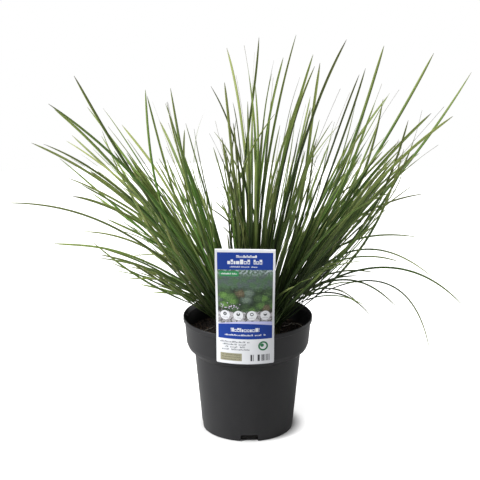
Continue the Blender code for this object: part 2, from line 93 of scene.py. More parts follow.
# The label: a card folded over at its top, with a short flap and a narrow leg behind it
LABEL_WIDTH = 75.2 * MM
LABEL_TOP = 269 * MM
LABEL_FOOT = 118 * MM
LABEL_TURN = math.radians(-2.6)
LABEL_LIP_HEIGHT = POT_HEIGHT - LIP_DEPTH - 2.5 * MM
LABEL_STAND_OFF = 87 * MM
LABEL_LIP_STAND_OFF = 86.2 * MM
LABEL_FOOT_STAND_OFF = 84.8 * MM
LABEL_WRAP_RADIUS = 85.4 * MM
LABEL_FOLD_RADIUS = 1.2 * MM
FLAP_FOOT = 258 * MM
LEG_WIDTH = 24 * MM
LEG_AT_FLAP = 84.2 * MM
LEG_AT_RIM = 81.4 * MM
LEG_AT_FOOT = 75.4 * MM
LEG_FOOT = 121 * MM

# A shoot's solid: a sheath this high, and leaves with sections at these shares of their length, whose widths
# close towards the tip by a power
SHEATH_SOLID = 6.3 * MM
SOLID_TAPER = 2.6
STATIONS = {
    3: (0.0, 0.4, 0.75),
    4: (0.0, 0.3, 0.56, 0.8),
    6: (0.0, 0.18, 0.36, 0.54, 0.72, 0.88),
}
MERGE = 0.001 * MM

# How many followers low leaves and the narrow middle tuft get, next to the other leaves
LOW_SHARE = 0.2
MIDDLE_SHARE = 0.6
# How long and how wide a follower and a short leaf are, as shares of the leaf that they grow beside
FOLLOWER = ((0.52, 0.95), (0.38, 0.74))
SHORT_LEAF = ((0.12, 0.35), (0.7, 1.0))

# Each tuft's tones, their middle and spread, from the darkest leaves at 0 to the lightest at 1
TONES = {"left": (0.52, 0.30), "middle": (0.46, 0.32), "right": (0.35, 0.33)}
# The shoots in the left tuft whose leaves are the freshest green
FRESH_SHOOTS = (
    "shoot_left_03", "shoot_left_05", "shoot_left_06", "shoot_left_09", "shoot_left_11", "shoot_left_12",
    "shoot_left_14",
)
# Dense bunches of leaves: the shoots that share one, the leaves that each gives it, their tone, how fresh
# they are, and the ends of the line on which their tips stand, as across, up from the crown and depth in mm
BUNCHES = (
    (
        ("shoot_left_06", "shoot_left_09", "shoot_left_12", "shoot_left_14"),
        6, 0.60, 1.0, (-181, 240, -70), (-158, 236, -10),
    ),
    (
        ("shoot_right_29", "shoot_right_34", "shoot_right_35", "shoot_right_37"),
        5, 0.24, 0.3, (205, 250, -70), (221, 236, 30),
    ),
    (
        ("shoot_right_31", "shoot_right_34", "shoot_right_37"),
        2, 0.5, 0.6, (156, 240, -50), (146, 226, 40),
    ),
)

# How leaves end: how many do so, how much of the length the full blade takes, and how sharply it narrows
# there. What is left beyond it is a dry thread.
TIPS = (
    (0.50, (0.995, 1.0), 20),
    (0.26, (1.0, 1.0), 8),
    (0.24, (0.72, 0.93), 6),
)
THREAD = 0.45 * MM

# Thin leaves that are bent or broken: the shoot that each grows from, its width in mm, and the points it
# passes in the front view, as across, up from the crown and depth in mm
BENT_LEAVES = (
    ("shoot_middle_26", 1.9, ((40, 60, 5), (62, 130, -10), (83, 230, -22), (109, 181, -34))),
    ("shoot_middle_24", 2.4, ((32, 70, 20), (60, 165, 25), (84, 226, 20), (108, 258, 16), (123, 273, 14))),
    (
        "shoot_right_40", 1.4,
        ((92, 78, -8), (140, 130, -20), (167, 152, -26), (186, 170, -30), (197, 188, -30), (203, 201, -30),
         (205, 215, -28)),
    ),
    ("shoot_right_38", 1.8, ((70, 45, -40), (104, 84, -52), (127, 100, -56), (133, 96, -58))),
    ("shoot_left_12", 1.7, ((-50, 60, 0), (-66, 150, 0), (-72, 215, 4), (-68, 262, 6), (-59, 285, 6))),
)
SHOOTS = sorted(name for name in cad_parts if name.startswith("shoot_"))

# The steps along an upright leaf and along one that arches over, and the corners of a blade's section
STEPS = 28
ARCH_STEPS = 34
SECTION_CORNERS = 10

# How blades turn: the share of its twist that an arched or low leaf keeps, how much more or less than others
# a leaf turns its face to the front, by which share of its length it has done so, and from which it twists
CALM_TWIST = 0.4
FACING_VARIES = (-0.45, 0.3)
FACES_BY = 0.3
TWISTS_FROM = 0.25
# How far a leaf sways and how far a follower's tip is apart, as shares of the length
SWAY = 0.012
APART = (0.05, 0.075, 0.11)
# Widths of arched leaves and of the slightest solids next to the others, and how much any width varies
ARCH_WIDTH = 0.9
SLIGHT_WIDTH = 0.8
WIDTH_VARIES = (0.86, 1.12)
# How sharply arched leaves close, and followers at the sharpest
ARCH_SHARPNESS = 7
FOLLOWER_SHARPNESS = 8
# The tone of the left tuft's arched leaves, and what the others' and short leaves' tones are multiplied by
LEFT_ARCH_TONE = 0.8
ARCH_TONE = 0.3
SHORT_TONE = 0.35
# The longest short leaf, and the dry end of a leaf at its longest, as shares of the length
SHORT = 0.4
DRY_END = 0.04
# How fresh the leaves of the freshest shoots are, and the others
FRESHEST = (0.6, 1.0)
LESS_FRESH = (0.0, 0.45)

# Where finishes change: how high dust lies thicker on the pot, the heights between which the mix goes from a
# painted shade of plain dark to crumbs, the distances from the crown between which leaves go from lit to
# painted shade, the sheaths' colour, and half the soft edge of the label's ink in mm
DUST_HEIGHT = 30 * MM
SHADED_TO_BARE = (60 * MM, 110 * MM)
LIT_TO_CROWD_SHADED = (130 * MM, 60 * MM)
SHEATH_BROWN = (0.075, 0.07, 0.03)
INK_EDGE = 0.12

# The camera, which looks down a little
EYE = Vector((-10.2, -1633.3, 728.6)) * MM
LOOK_DOWN = math.radians(16.1)
SKYWARD = Vector((0, math.sin(LOOK_DOWN), math.cos(LOOK_DOWN)))
LENS = 98.2
SENSOR = 36


def colour_setting(name, description, default):
    return bpy.props.FloatVectorProperty(
        name=name, description=description, default=default, subtype="COLOR", min=0, max=1)


def length_setting(name, description, default):
    return bpy.props.FloatProperty(name=name, description=description, default=default, unit="LENGTH")


def amount_setting(name, description, default, **more):
    return bpy.props.FloatProperty(name=name, description=description, default=default, **more)


def count_setting(name, description, default, **more):
    return bpy.props.IntProperty(name=name, description=description, default=default, **more)


class PotProperties(bpy.types.PropertyGroup):
    sides: count_setting("Sides", "Faces round the pot", 160, min=32)
    lip_round: length_setting("Lip Rounding", "Radius of the lip's edges", 0.6 * MM)
    colour: colour_setting("Plastic", "Colour of the moulded plastic", (0.0125, 0.0125, 0.0138))
    dust: colour_setting("Dust", "Colour of the fine dust on the plastic", (0.034, 0.033, 0.033))


class MixProperties(bpy.types.PropertyGroup):
    lumps: length_setting("Lumps", "Height of the mix's lumps", 2.2 * MM)
    grains: amount_setting("Grains", "Bark grains on each square metre of the mix", 190000)
    grain_size: length_setting("Grain Size", "Radius of a middling bark grain", 1.5 * MM)
    straws: count_setting("Straws", "Dry leaf bits that lie on the mix", 40, min=0)
    dark: colour_setting("Peat", "Colour of the darkest crumbs", (0.007, 0.0055, 0.0045))
    bark: colour_setting("Bark", "Colour of the lightest bark", (0.115, 0.068, 0.040))


class LabelProperties(bpy.types.PropertyGroup):
    thickness: length_setting("Card Thickness", "Thickness of the card", 0.4 * MM)
    corner: length_setting("Corner", "Radius of the card's corners", 1.6 * MM)
    blue: colour_setting("Blue", "Colour of the printed bands", (0.003, 0.026, 0.185))
    paper: colour_setting("Paper", "Colour of the bare card", (0.52, 0.53, 0.55))


class LeafProperties(bpy.types.PropertyGroup):
    thickness: amount_setting("Thickness", "A blade's thickness as a share of its width", 0.1)
    width: amount_setting("Width", "A blade's width as a share of its solid's", 0.77)
    fold: amount_setting("Fold", "How far a blade's margins stand over its midrib, as a share", 0.62)
    twist: amount_setting(
        "Twist", "How far a blade may turn towards its tip", math.radians(35), subtype="ANGLE")
    facing: amount_setting("Facing", "How far blades turn their faces to the front, as a share", 0.85)
    followers: amount_setting("Followers", "Thinner leaves that grow along with each leaf", 1.25, min=0)
    short: amount_setting("Short Leaves", "Short leaves at the foot of each leaf", 0.4, min=0)
    seed: count_setting("Seed", "Changes the leaves' small turns", 7)
    deep: colour_setting("Deep Green", "Colour of the darkest leaves", (0.013, 0.027, 0.009))
    green: colour_setting("Green", "Colour of most leaves", (0.076, 0.153, 0.024))
    fresh: colour_setting("Fresh Green", "Colour of the freshest leaves", (0.092, 0.248, 0.032))
    olive: colour_setting("Olive", "Colour of the lightest leaves", (0.240, 0.265, 0.084))
    dry: colour_setting("Dry Tip", "Colour of a dried tip", (0.235, 0.215, 0.185))


class StudioProperties(bpy.types.PropertyGroup):
    floor: colour_setting("Floor", "Colour of the studio's floor", (0.5, 0.5, 0.5))
    reach: length_setting("Floor Radius", "How far the floor reaches", 1.6)
    glow: amount_setting("Floor Glow", "How much brighter the floor looks than it is lit", 0.85)
    key: amount_setting("Key Light", "Power of the large light on the left", 92, subtype="POWER")
    front: amount_setting("Front Light", "Power of the light above the camera", 9, subtype="POWER")
    edge: amount_setting("Edge Light", "Power of the faint light from the right", 9, subtype="POWER")
    top: amount_setting("Top Light", "Strength of the soft light overhead", 3.2)
    sky: amount_setting("Surround", "Strength of the surround's light", 0.2)


class Board:
    """A node tree, with short ways to add nodes and to wire them."""

    def __init__(self, tree):
        self.tree = tree

    def node(self, kind, inputs=None, **settings):
        made = self.tree.nodes.new(kind)
        for name, value in settings.items():
            setattr(made, name, value)
        for name, value in (inputs or {}).items():
            self.feed(made.inputs[name], value)
        return made

    def geometry(self, kind, inputs=None, **settings):
        """What a new geometry node puts out first."""
        return self.node(f"GeometryNode{kind}", inputs, **settings).outputs[0]

    def feed(self, socket, value):
        if isinstance(value, bpy.types.NodeSocket):
            self.tree.links.new(value, socket)
        else:
            socket.default_value = value

    def math(self, operation, *values, clamp=False):
        made = self.node("ShaderNodeMath", operation=operation, use_clamp=clamp)
        for socket, value in zip(made.inputs, values):
            self.feed(socket, value)
        return made.outputs[0]

    def plus(self, one, other, clamp=False):
        return self.math("ADD", one, other, clamp=clamp)

    def minus(self, one, other):
        return self.math("SUBTRACT", one, other)

    def times(self, one, other, clamp=False):
        return self.math("MULTIPLY", one, other, clamp=clamp)

    def line(self, value, slope, start, clamp=False):
        """The value times the slope, on top of the start."""
        return self.math("MULTIPLY_ADD", value, slope, start, clamp=clamp)

    def vector(self, operation, *values):
        made = self.node("ShaderNodeVectorMath", operation=operation)
        for socket, value in zip(made.inputs, values):
            self.feed(socket, value)
        return made.outputs["Value" if operation == "LENGTH" else "Vector"]

    def scaled(self, vector, amount):
        made = self.node("ShaderNodeVectorMath", {"Scale": amount}, operation="SCALE")
        self.feed(made.inputs[0], vector)
        return made.outputs["Vector"]

    def combine(self, x=0.0, y=0.0, z=0.0):
        return self.node("ShaderNodeCombineXYZ", {"X": x, "Y": y, "Z": z}).outputs[0]

    def split(self, vector):
        return self.node("ShaderNodeSeparateXYZ", {"Vector": vector}).outputs

    def mix(self, share, one, other):
        """One colour, and by a share the other over it."""
        made = self.node("ShaderNodeMix", data_type="RGBA")
        for number, value in ((0, share), (6, opaque(one)), (7, opaque(other))):
            self.feed(made.inputs[number], value)
        return made.outputs[2]

    def ramp(self, value, low, high, low_to=0.0, high_to=1.0, smooth=True):
        """A value that goes from one result to the other while the given one goes from low to high."""
        kind = "SMOOTHSTEP" if smooth else "LINEAR"
        inputs = {"Value": value, "From Min": low, "From Max": high, "To Min": low_to, "To Max": high_to}
        return self.node("ShaderNodeMapRange", inputs, interpolation_type=kind).outputs["Result"]

    def noise(self, vector, scale, detail=2.0, roughness=0.5):
        inputs = {"Vector": vector, "Scale": scale, "Detail": detail, "Roughness": roughness}
        return self.node("ShaderNodeTexNoise", inputs).outputs[0]

    def cells(self, place, feature="F1", scale=1.0, on_line=False):
        """Uneven cells in space, or along a line where the place is one number."""
        inputs = {"W" if on_line else "Vector": place, "Scale": scale}
        extent = "1D" if on_line else "3D"
        return self.node("ShaderNodeTexVoronoi", inputs, voronoi_dimensions=extent, feature=feature).outputs

    def random_vector(self, low, high, seed):
        """A vector that differs from point to point, between two others, with a fixed seed."""
        made = self.node("FunctionNodeRandomValue", {"Seed": seed}, data_type="FLOAT_VECTOR")
        made.inputs[0].default_value = low
        made.inputs[1].default_value = high
        return made.outputs[0]

    def attribute(self, name):
        return self.node("ShaderNodeAttribute", attribute_name=name).outputs["Fac"]

    def object_place(self):
        return self.node("ShaderNodeTexCoord").outputs["Object"]

    def group(self, tree, **inputs):
        made = self.node("ShaderNodeGroup", node_tree=tree)
        for name, value in inputs.items():
            self.feed(made.inputs[name.replace("_", " ")], value)
        return made.outputs

    def grain(self, size):
        """Fine and broad grain on a piece, at a size in metres."""
        return self.group(shared(fine_grain), Place=self.object_place(), Size=size)


def opaque(colour):
    """A colour of three numbers as the four that a socket holds; a socket is passed on."""
    if isinstance(colour, bpy.types.NodeSocket):
        return colour
    return (*colour[:3], 1.0)


def toned(colour, amount):
    """A colour made darker or lighter by a factor."""
    return [amount * part for part in colour]


def new_group(name, inputs, outputs, kind="ShaderNodeTree"):
    """An empty node group with its sockets: its board, and the ends of its wires.

    An input that is given as a number has that default. The others are given by their socket's kind.
    """
    tree = bpy.data.node_groups.new(name, kind)
    for label, given in inputs.items():
        socket_kind = {float: "Float", int: "Int"}.get(type(given), given)
        socket = tree.interface.new_socket(label, in_out="INPUT", socket_type="NodeSocket" + socket_kind)
        if socket_kind != given:
            socket.default_value = given
    for label, socket_kind in outputs.items():
        tree.interface.new_socket(label, in_out="OUTPUT", socket_type="NodeSocket" + socket_kind)
    board = Board(tree)
    return board, board.node("NodeGroupInput").outputs, board.node("NodeGroupOutput").inputs


def shared(build):
    """The node group that a function of the same name builds, built the first time that it is asked for."""
    return bpy.data.node_groups.get(build.__name__) or build()


def new_material(name, **plain):
    """A material with its Principled shader, whose plain values are set on the shader itself."""
    made = bpy.data.materials.new(name)
    made.use_nodes = True
    shader = made.node_tree.nodes["Principled BSDF"]
    for label, value in plain.items():
        shader.inputs[label.replace("_", " ")].default_value = value
    return made, Board(made.node_tree), shader


def coat(board, shader, colour, roughness, relief, strength, depth):
    """Wire a finish to its shader: colour, roughness, and a fine relief with its strength and depth."""
    bumps = board.node("ShaderNodeBump", {"Height": relief, "Strength": strength, "Distance": depth})
    board.feed(shader.inputs["Base Color"], colour)
    board.feed(shader.inputs["Roughness"], roughness)
    board.feed(shader.inputs["Normal"], bumps.outputs["Normal"])


def fine_grain():
    """Grain of two sizes on a surface, for plastic, card and crumbs."""
    board, given, out = new_group(
        "fine_grain", {"Place": "Vector", "Size": 1.0}, {"Fine": "Float", "Broad": "Float"})
    spread = board.scaled(given["Place"], board.math("DIVIDE", 1.0, given["Size"]))
    board.feed(out["Fine"], board.noise(spread, 1.0, 3.0, 0.6))
    board.feed(out["Broad"], board.noise(spread, 0.06, 3.0, 0.55))
    return board.tree


def long_streaks():
    """Fibres along a blade: noise drawn out along the leaf's own UV."""
    board, given, out = new_group(
        "long_streaks",
        {"UV": "Vector", "Fibres": 12.0, "Along": 3.0, "Number": 0.0},
        {"Streaks": "Float", "Patches": "Float"},
    )
    parts = board.split(given["UV"])
    across = board.times(parts["X"], given["Fibres"])
    along = board.times(parts["Y"], given["Along"])
    number = board.times(given["Number"], 37.0)
    board.feed(out["Streaks"], board.noise(board.combine(across, along, number), 1.0, 3.0, 0.6))
    patch = board.combine(board.times(parts["X"], 0.8), board.times(along, 2.2), number)
    board.feed(out["Patches"], board.noise(patch, 1.0, 2.0, 0.5))
    return board.tree


# The sockets of a group that gives a shape on the label: where it stands, and half its size, in millimetres
SHAPE_SOCKETS = {"Place": "Vector", "X": 0.0, "Y": 0.0, "Half Width": 1.0, "Half Height": 1.0}


def label_block():
    """A block with round corners on the card, in millimetres: 1 inside it and 0 outside."""
    board, given, out = new_group("label_block", {**SHAPE_SOCKETS, "Corner": 0.0}, {"Mask": "Float"})
    parts = board.split(given["Place"])
    sides = []
    for axis, half in (("X", "Half Width"), ("Y", "Half Height")):
        off = board.math("ABSOLUTE", board.minus(parts[axis], given[axis]))
        sides.append(board.minus(off, board.minus(given[half], given["Corner"])))
    beyond = [board.math("MAXIMUM", side, 0.0) for side in sides]
    corner = board.vector("LENGTH", board.combine(*beyond))
    within = board.math("MINIMUM", board.math("MAXIMUM", *sides), 0.0)
    distance = board.minus(board.plus(corner, within), given["Corner"])
    board.feed(out["Mask"], board.ramp(distance, INK_EDGE, -INK_EDGE))
    return board.tree


def pot_material():
    """The pot's moulded plastic, with fine dust on it."""
    settings = bpy.context.scene.rush_pot
    made, board, shader = new_material("charcoal_plastic", Specular_IOR_Level=0.24)
    place = board.object_place()
    grain = board.grain(0.9 * MM)
    # Dust lies in clouds, more of it near the ground, and in single specks
    low = board.ramp(board.split(place)["Z"], DUST_HEIGHT, 0.0)
    cloud = board.ramp(board.noise(place, 38.0, 4.0, 0.6), 0.35, 0.75)
    dusty = board.times(cloud, board.line(low, 0.2, 0.08), clamp=True)
    specks = board.ramp(board.noise(place, 900.0, 1.0), 0.72, 0.78)
    marks = board.times(specks, board.ramp(board.noise(place, 60.0, 2.0), 0.5, 0.7, 0.0, 0.5))
    plastic = board.mix(grain["Broad"], toned(settings.colour, 0.8), settings.colour)
    dusted = board.mix(board.plus(dusty, marks, clamp=True), plastic, settings.dust)
    rough = board.line(dusty, 0.35, board.line(grain["Fine"], 0.1, 0.40), clamp=True)
    coat(board, shader, dusted, rough, grain["Fine"], strength=0.12, depth=0.05 * MM)
    return made


def mix_material():
    """The potting mix's crumbs, each as light as its tone, and a painted shade of plain dark low in the pot.
    """
    settings = bpy.context.scene.rush_mix
    made, board, shader = new_material("potting_mix_crumbs", Specular_IOR_Level=0.25)
    grain = board.grain(1.1 * MM)
    light = board.times(board.attribute("grain_tone"), board.ramp(grain["Fine"], 0.3, 0.75), clamp=True)
    # Painted shade: the mix goes plain dark low down inside the pot
    upper = board.ramp(board.split(board.object_place())["Z"], *SHADED_TO_BARE)
    crumbs = board.mix(light, settings.dark, settings.bark)
    colour = board.mix(upper, toned(settings.dark, 0.3), crumbs)
    rough = board.ramp(grain["Fine"], 0.2, 0.8, 0.75, 0.98)
    coat(board, shader, colour, rough, grain["Fine"], strength=0.9, depth=0.5 * MM)
    return made


def leaf_material(name, alive):
    """The blades' finish: that of green leaves with dry tips, or that of straw."""
    settings = bpy.context.scene.rush_leaves
    made, board, shader = new_material(name, Specular_IOR_Level=0.16)
    uv = board.node("ShaderNodeUVMap", uv_map="UVMap").outputs["UV"]
    parts = board.split(uv)
    across = parts["X"]
    along = parts["Y"]
    off_middle = board.math("ABSOLUTE", board.line(across, 2.0, -1.0))
    tone, dryness, young = [board.attribute(f"blade_{label}") for label in ("tone", "dry", "fresh")]
    fibres = board.group(shared(long_streaks), UV=uv, Fibres=14.0, Along=3.0, Number=tone)

    # Painted shade of the fold: one half of a folded blade is darkened, the left half on some leaves, and the
    # right half on the others
    turned = board.math("GREATER_THAN", board.math("FRACT", board.times(tone, 53.0)), 0.5)
    half = board.math("ABSOLUTE", board.minus(board.ramp(across, 0.4, 0.6), turned))
    # Painted shade: it is darkened low down and near the crown, where the others shade it
    shaded_low = board.ramp(board.line(young, 0.16, along), 0.78, 0.26, 0.0, 0.88)
    from_crown = board.vector("LENGTH", board.vector("SUBTRACT", board.object_place(), (0, 0, MIX_TOP)))
    shade = board.math("MAXIMUM", shaded_low, board.ramp(from_crown, *LIT_TO_CROWD_SHADED, 0.0, 0.86))
    # It dries from its tip, with a ragged edge
    dry_from = board.minus(1.0, dryness)
    ragged = board.line(fibres["Streaks"], 0.05, along)
    dried = board.ramp(ragged, board.minus(dry_from, 0.02), board.plus(dry_from, 0.07))
    withered = board.times(dried, 0.9) if alive else board.math("MAXIMUM", dried, 0.93)
    straw = board.mix(fibres["Patches"], settings.dry, toned(settings.dry, 0.55))

    common = board.mix(young, settings.green, settings.fresh)
    colour = board.mix(board.ramp(tone, 0.0, 0.5, smooth=False), settings.deep, common)
    layers = {
        "light leaf": (board.ramp(tone, 0.5, 1.0, smooth=False), settings.olive),
        # Painted shade on one half of the fold
        "painted fold shade": (board.times(half, 0.5), toned(settings.green, 0.45)),
        "fibres": (board.ramp(fibres["Streaks"], 0.25, 0.8, 0.0, 0.45), settings.deep),
        "patches": (board.ramp(fibres["Patches"], 0.5, 0.75, 0.0, 0.3), settings.olive),
        "yellowed end": (board.ramp(along, 0.58, 0.95, 0.0, 0.40), settings.olive),
        "pale margins": (board.ramp(off_middle, 0.72, 0.95, 0.0, 0.42), toned(settings.olive, 1.2)),
        "pale midrib": (board.ramp(off_middle, 0.13, 0.03, 0.0, 0.3), settings.olive),
        # Painted shade low down and near the crown
        "shade": (shade, toned(settings.deep, 0.6)),
        "sheath": (board.ramp(along, 0.13, 0.03, 0.0, 0.7), SHEATH_BROWN),
        "dry end": (withered, straw),
    }
    for mask, over in layers.values():
        colour = board.mix(mask, colour, over)
    rough = board.line(dried, 0.3, board.line(fibres["Streaks"], 0.2, 0.38), clamp=True)
    coat(board, shader, colour, rough, fibres["Streaks"], strength=0.35, depth=0.15 * MM)
    return made


def placed(name, data):
    """A new object in the scene."""
    made = bpy.data.objects.new(name, data)
    bpy.context.scene.collection.objects.link(made)
    return made


def apply_modifiers(piece):
    """Put a piece's modifiers into its mesh."""
    graph = bpy.context.evaluated_depsgraph_get()
    shaped = bpy.data.meshes.new_from_object(piece.evaluated_get(graph))
    piece.modifiers.clear()
    old = piece.data
    piece.data = shaped
    shaped.name = piece.name
    bpy.data.meshes.remove(old)


def grown(name, source, tree, values):
    """The plain mesh object that a node tree makes of a source mesh, with its inputs set by identifier."""
    piece = placed(name, source)
    modifier = piece.modifiers.new(tree.name, "NODES")
    modifier.node_group = tree
    for item in tree.interface.items_tree:
        if item.item_type == "SOCKET" and item.in_out == "INPUT" and item.name in values:
            modifier[item.identifier] = values[item.name]
    apply_modifiers(piece)
    return piece


def named(board, kind, name):
    return board.geometry("InputNamedAttribute", {"Name": name}, data_type=kind)


def store(board, geometry, name, value, kind="FLOAT", domain="POINT"):
    inputs = {"Geometry": geometry, "Name": name, "Value": value}
    return board.geometry("StoreNamedAttribute", inputs, data_type=kind, domain=domain)


def blade_tree():
    """Sweeps a thin lens along each path and folds it along the midrib."""
    board, given, out = new_group(
        "leaf_blades",
        {"Paths": "Geometry", "Thickness": 0.1, "Section Points": SECTION_CORNERS, "Material": "Material"},
        {"Blades": "Geometry"},
        "GeometryNodeTree",
    )
    half = named(board, "FLOAT", "blade_half")
    side = named(board, "FLOAT_VECTOR", "blade_across")
    paths = board.geometry("MeshToCurve", {"Mesh": given["Paths"]})
    paths = board.geometry("SetCurveNormal", {"Curve": paths, "Normal": side}, mode="FREE")
    ring = {"Resolution": given["Section Points"], "Radius": 1.0}
    ring = board.geometry("CurvePrimitiveCircle", ring, mode="RADIUS")
    corner = board.split(board.geometry("InputPosition"))
    flat = board.combine(corner["X"], board.times(corner["Y"], given["Thickness"]))
    lens = board.geometry("SetPosition", {"Geometry": ring, "Position": flat})
    lens = store(board, lens, "section_across", corner["X"])
    sweep = {"Curve": paths, "Profile Curve": lens, "Scale": half, "Fill Caps": True}
    blades = board.geometry("CurveToMesh", sweep)
    across = named(board, "FLOAT", "section_across")
    raised = board.math("POWER", board.math("ABSOLUTE", across), 1.25)
    lift = board.times(raised, board.times(half, named(board, "FLOAT", "blade_fold")))
    offset = board.scaled(named(board, "FLOAT_VECTOR", "blade_up"), lift)
    blades = board.geometry("SetPosition", {"Geometry": blades, "Offset": offset})
    uv = board.combine(board.line(across, 0.5, 0.5), named(board, "FLOAT", "blade_along"))
    blades = store(board, blades, "UVMap", uv, "FLOAT2", "CORNER")
    blades = board.geometry("SetShadeSmooth", {"Geometry": blades})
    blades = board.geometry("SetMaterial", {"Geometry": blades, "Material": given["Material"]})
    board.feed(out["Blades"], board.geometry("RealizeInstances", {"Geometry": blades}))
    return board.tree


class Blade:
    """A leaf's path, with what the blade is like at each of its points."""

    def __init__(self, points, across, up, half, fold, tone, dry, fresh=0.0):
        self.points = points
        self.across = across
        self.up = up
        self.half = half
        self.fold = fold
        self.tone = tone
        self.dry = dry
        self.fresh = fresh


def path_mesh(name, blades):
    """The blades' paths as edges, with their measures as attributes."""
    points = []
    edges = []
    numbers = {"half": [], "fold": [], "along": [], "tone": [], "dry": [], "fresh": []}
    vectors = {"across": [], "up": []}
    for blade in blades:
        first = len(points)
        count = len(blade.points)
        points += blade.points
        edges += [(step, step + 1) for step in range(first, first + count - 1)]
        numbers["half"] += blade.half
        numbers["fold"] += blade.fold
        numbers["along"] += [step / (count - 1) for step in range(count)]
        for label in ("tone", "dry", "fresh"):
            numbers[label] += [getattr(blade, label)] * count
        for label, values in vectors.items():
            values += getattr(blade, label)
    mesh = bpy.data.meshes.new(name + "_paths")
    mesh.from_pydata(points, edges, [])
    for label, values in numbers.items():
        mesh.attributes.new(f"blade_{label}", "FLOAT", "POINT").data.foreach_set("value", values)
    for label, values in vectors.items():
        flat = [part for value in values for part in value]
        mesh.attributes.new(f"blade_{label}", "FLOAT_VECTOR", "POINT").data.foreach_set("vector", flat)
    return mesh


def clamp(value):
    return min(1.0, max(0.0, value))


def gently(value):
    """A share that sets out from 0 and settles at 1 without a kink."""
    share = clamp(value)
    return share * share * (3 - 2 * share)


def point_on_curve(start, bend, end, share):
    """A point of the curve that sets out for its bend and comes to its end from there."""
    return start * (1 - share) ** 2 + bend * 2 * share * (1 - share) + end * share**2


def ways_onward(points):
    """The direction of a path at each of its points."""
    onward = [(after - before).normalized() for before, after in zip(points, points[1:])]
    return [*onward, onward[-1]]


def square_to(onward, up):
    """The part of an upward direction that is square to the way onward."""
    return (up - onward * up.dot(onward)).normalized()


def on_sheath(point):
    """Whether a point of a shoot's solid is one of its sheath's."""
    height = point.co.z - MIX_TOP - GAP
    level = min(abs(height), abs(height - SHEATH_SOLID)) < 0.1 * MM
    return level and point.co.xy.length < RIM_RADIUS


def rings_from_tip(tip):
    """A leaf's rings of three points in its solid, from the tip down to its cell of the sheath."""
    rings = []
    passed = {tip}
    ring = {edge.other_vert(tip) for edge in tip.link_edges}
    while len(ring) == 3:
        rings.append([point.co.copy() for point in ring])
        if all(on_sheath(point) for point in ring):
            return rings
        passed |= ring
        ring = {edge.other_vert(point) for point in ring for edge in point.link_edges} - passed
    raise RuntimeError(f"a leaf has a ring of {len(ring)} points")


class SolidLeaf:
    """A leaf as its solid has it: where it starts, bends and ends, its width and how it is turned."""

    def __init__(self, tip, rings):
        cell = rings.pop()
        rings.reverse()
        self.foot = sum(cell, Vector()) / 3
        self.shares = STATIONS[len(rings)]
        sections = [self.section(ring) for ring in rings]
        self.arched = len(rings) == max(STATIONS)
        self.start = sections[0][0]
        self.tip = tip
        share = self.shares[1]
        ends = self.start * (1 - share) ** 2 + self.tip * share**2
        self.bend = (sections[1][0] - ends) / (2 * share * (1 - share))
        self.width = sections[1][1] / (1 - share**SOLID_TAPER)
        self.ups = [-section[2] for section in sections]

    def section(self, ring):
        """The blade's middle, its width, and the direction of its keel, from three corners."""
        pairs = ((0, 1, 2), (1, 2, 0), (2, 0, 1))
        one, other, keel = max(pairs, key=lambda pair: (ring[pair[0]] - ring[pair[1]]).length)
        middle = (ring[one] + ring[other]) / 2
        return middle, (ring[one] - ring[other]).length, (ring[keel] - middle).normalized()

    def point(self, share):
        return point_on_curve(self.start, self.bend, self.tip, share)

    def up(self, share):
        """The direction that the blade's upper side faces at a share of its length."""
        for low, high, low_up, high_up in zip(self.shares, self.shares[1:], self.ups, self.ups[1:]):
            if share <= high:
                return low_up.lerp(high_up, max(0.0, (share - low) / (high - low)))
        return self.ups[-1]


def read_leaves(node):
    """Every leaf of a shoot's solid."""
    solid = bmesh.new()
    solid.from_mesh(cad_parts[node].data)
    bmesh.ops.remove_doubles(solid, verts=solid.verts, dist=MERGE)
    tips = [point for point in solid.verts if len(point.link_edges) == 3 and not on_sheath(point)]
    leaves = [SolidLeaf(tip.co.copy(), rings_from_tip(tip)) for tip in tips]
    solid.free()
    return sorted(leaves, key=lambda leaf: (leaf.tip.x, leaf.tip.z))


def smoothed(points, passes):
    """Points along a path, with its kinks eased but its ends kept."""
    for _ in range(passes):
        eased = [
            (before + here * 2 + after) / 4
            for before, here, after in zip(points, points[1:], points[2:])
        ]
        points = [points[0], *eased, points[-1]]
    return points


def tip_kind(chance):
    """How a leaf ends: the share of its length that the full blade takes, and how sharply it narrows."""
    drawn = chance.random()
    for odds, ends, sharpness in TIPS:
        if drawn < odds:
            break
        drawn -= odds
    return chance.uniform(*ends), sharpness


def taper(share, end=1.0, sharpness=8):
    """A blade's width along its length: narrow at its sheath, widest low down, then narrowing and closing."""
    at_sheath = 0.60
    gained = 0.44
    gained_by = 0.4
    lost = 0.12
    closing = 0.55
    base = (at_sheath + gained * min(1.0, share / gained_by)) * (1 - lost * share)
    return base * max(0.0, 1 - (share / end) ** sharpness) ** closing


def sway(length, chance):
    """A slow waver of a leaf to its sides, which grows towards its tip."""
    turns = chance.uniform(0.6, 1.3)
    start = chance.uniform(0, math.tau)
    reach = chance.uniform(0.2, 1.0) * SWAY * length
    return lambda share: reach * share * share * math.sin(math.tau * turns * share + start)


def turns_to_front(ups, tangents):
    """The angles that turn a blade about its own line until a face looks to the front, without a jump."""
    angles = []
    for up, onward in zip(ups, tangents):
        before = angles[-1] if angles else 0.0
        up = square_to(onward, up)
        front = Vector((0, -1, 0))
        front = front - onward * front.dot(onward)
        points_at_viewer = front.length < 0.05
        if points_at_viewer:
            angles.append(before)
            continue
        angle = math.atan2(onward.cross(up).dot(front), up.dot(front))
        angles.append(angle + math.pi * round((before - angle) / math.pi))
    return angles


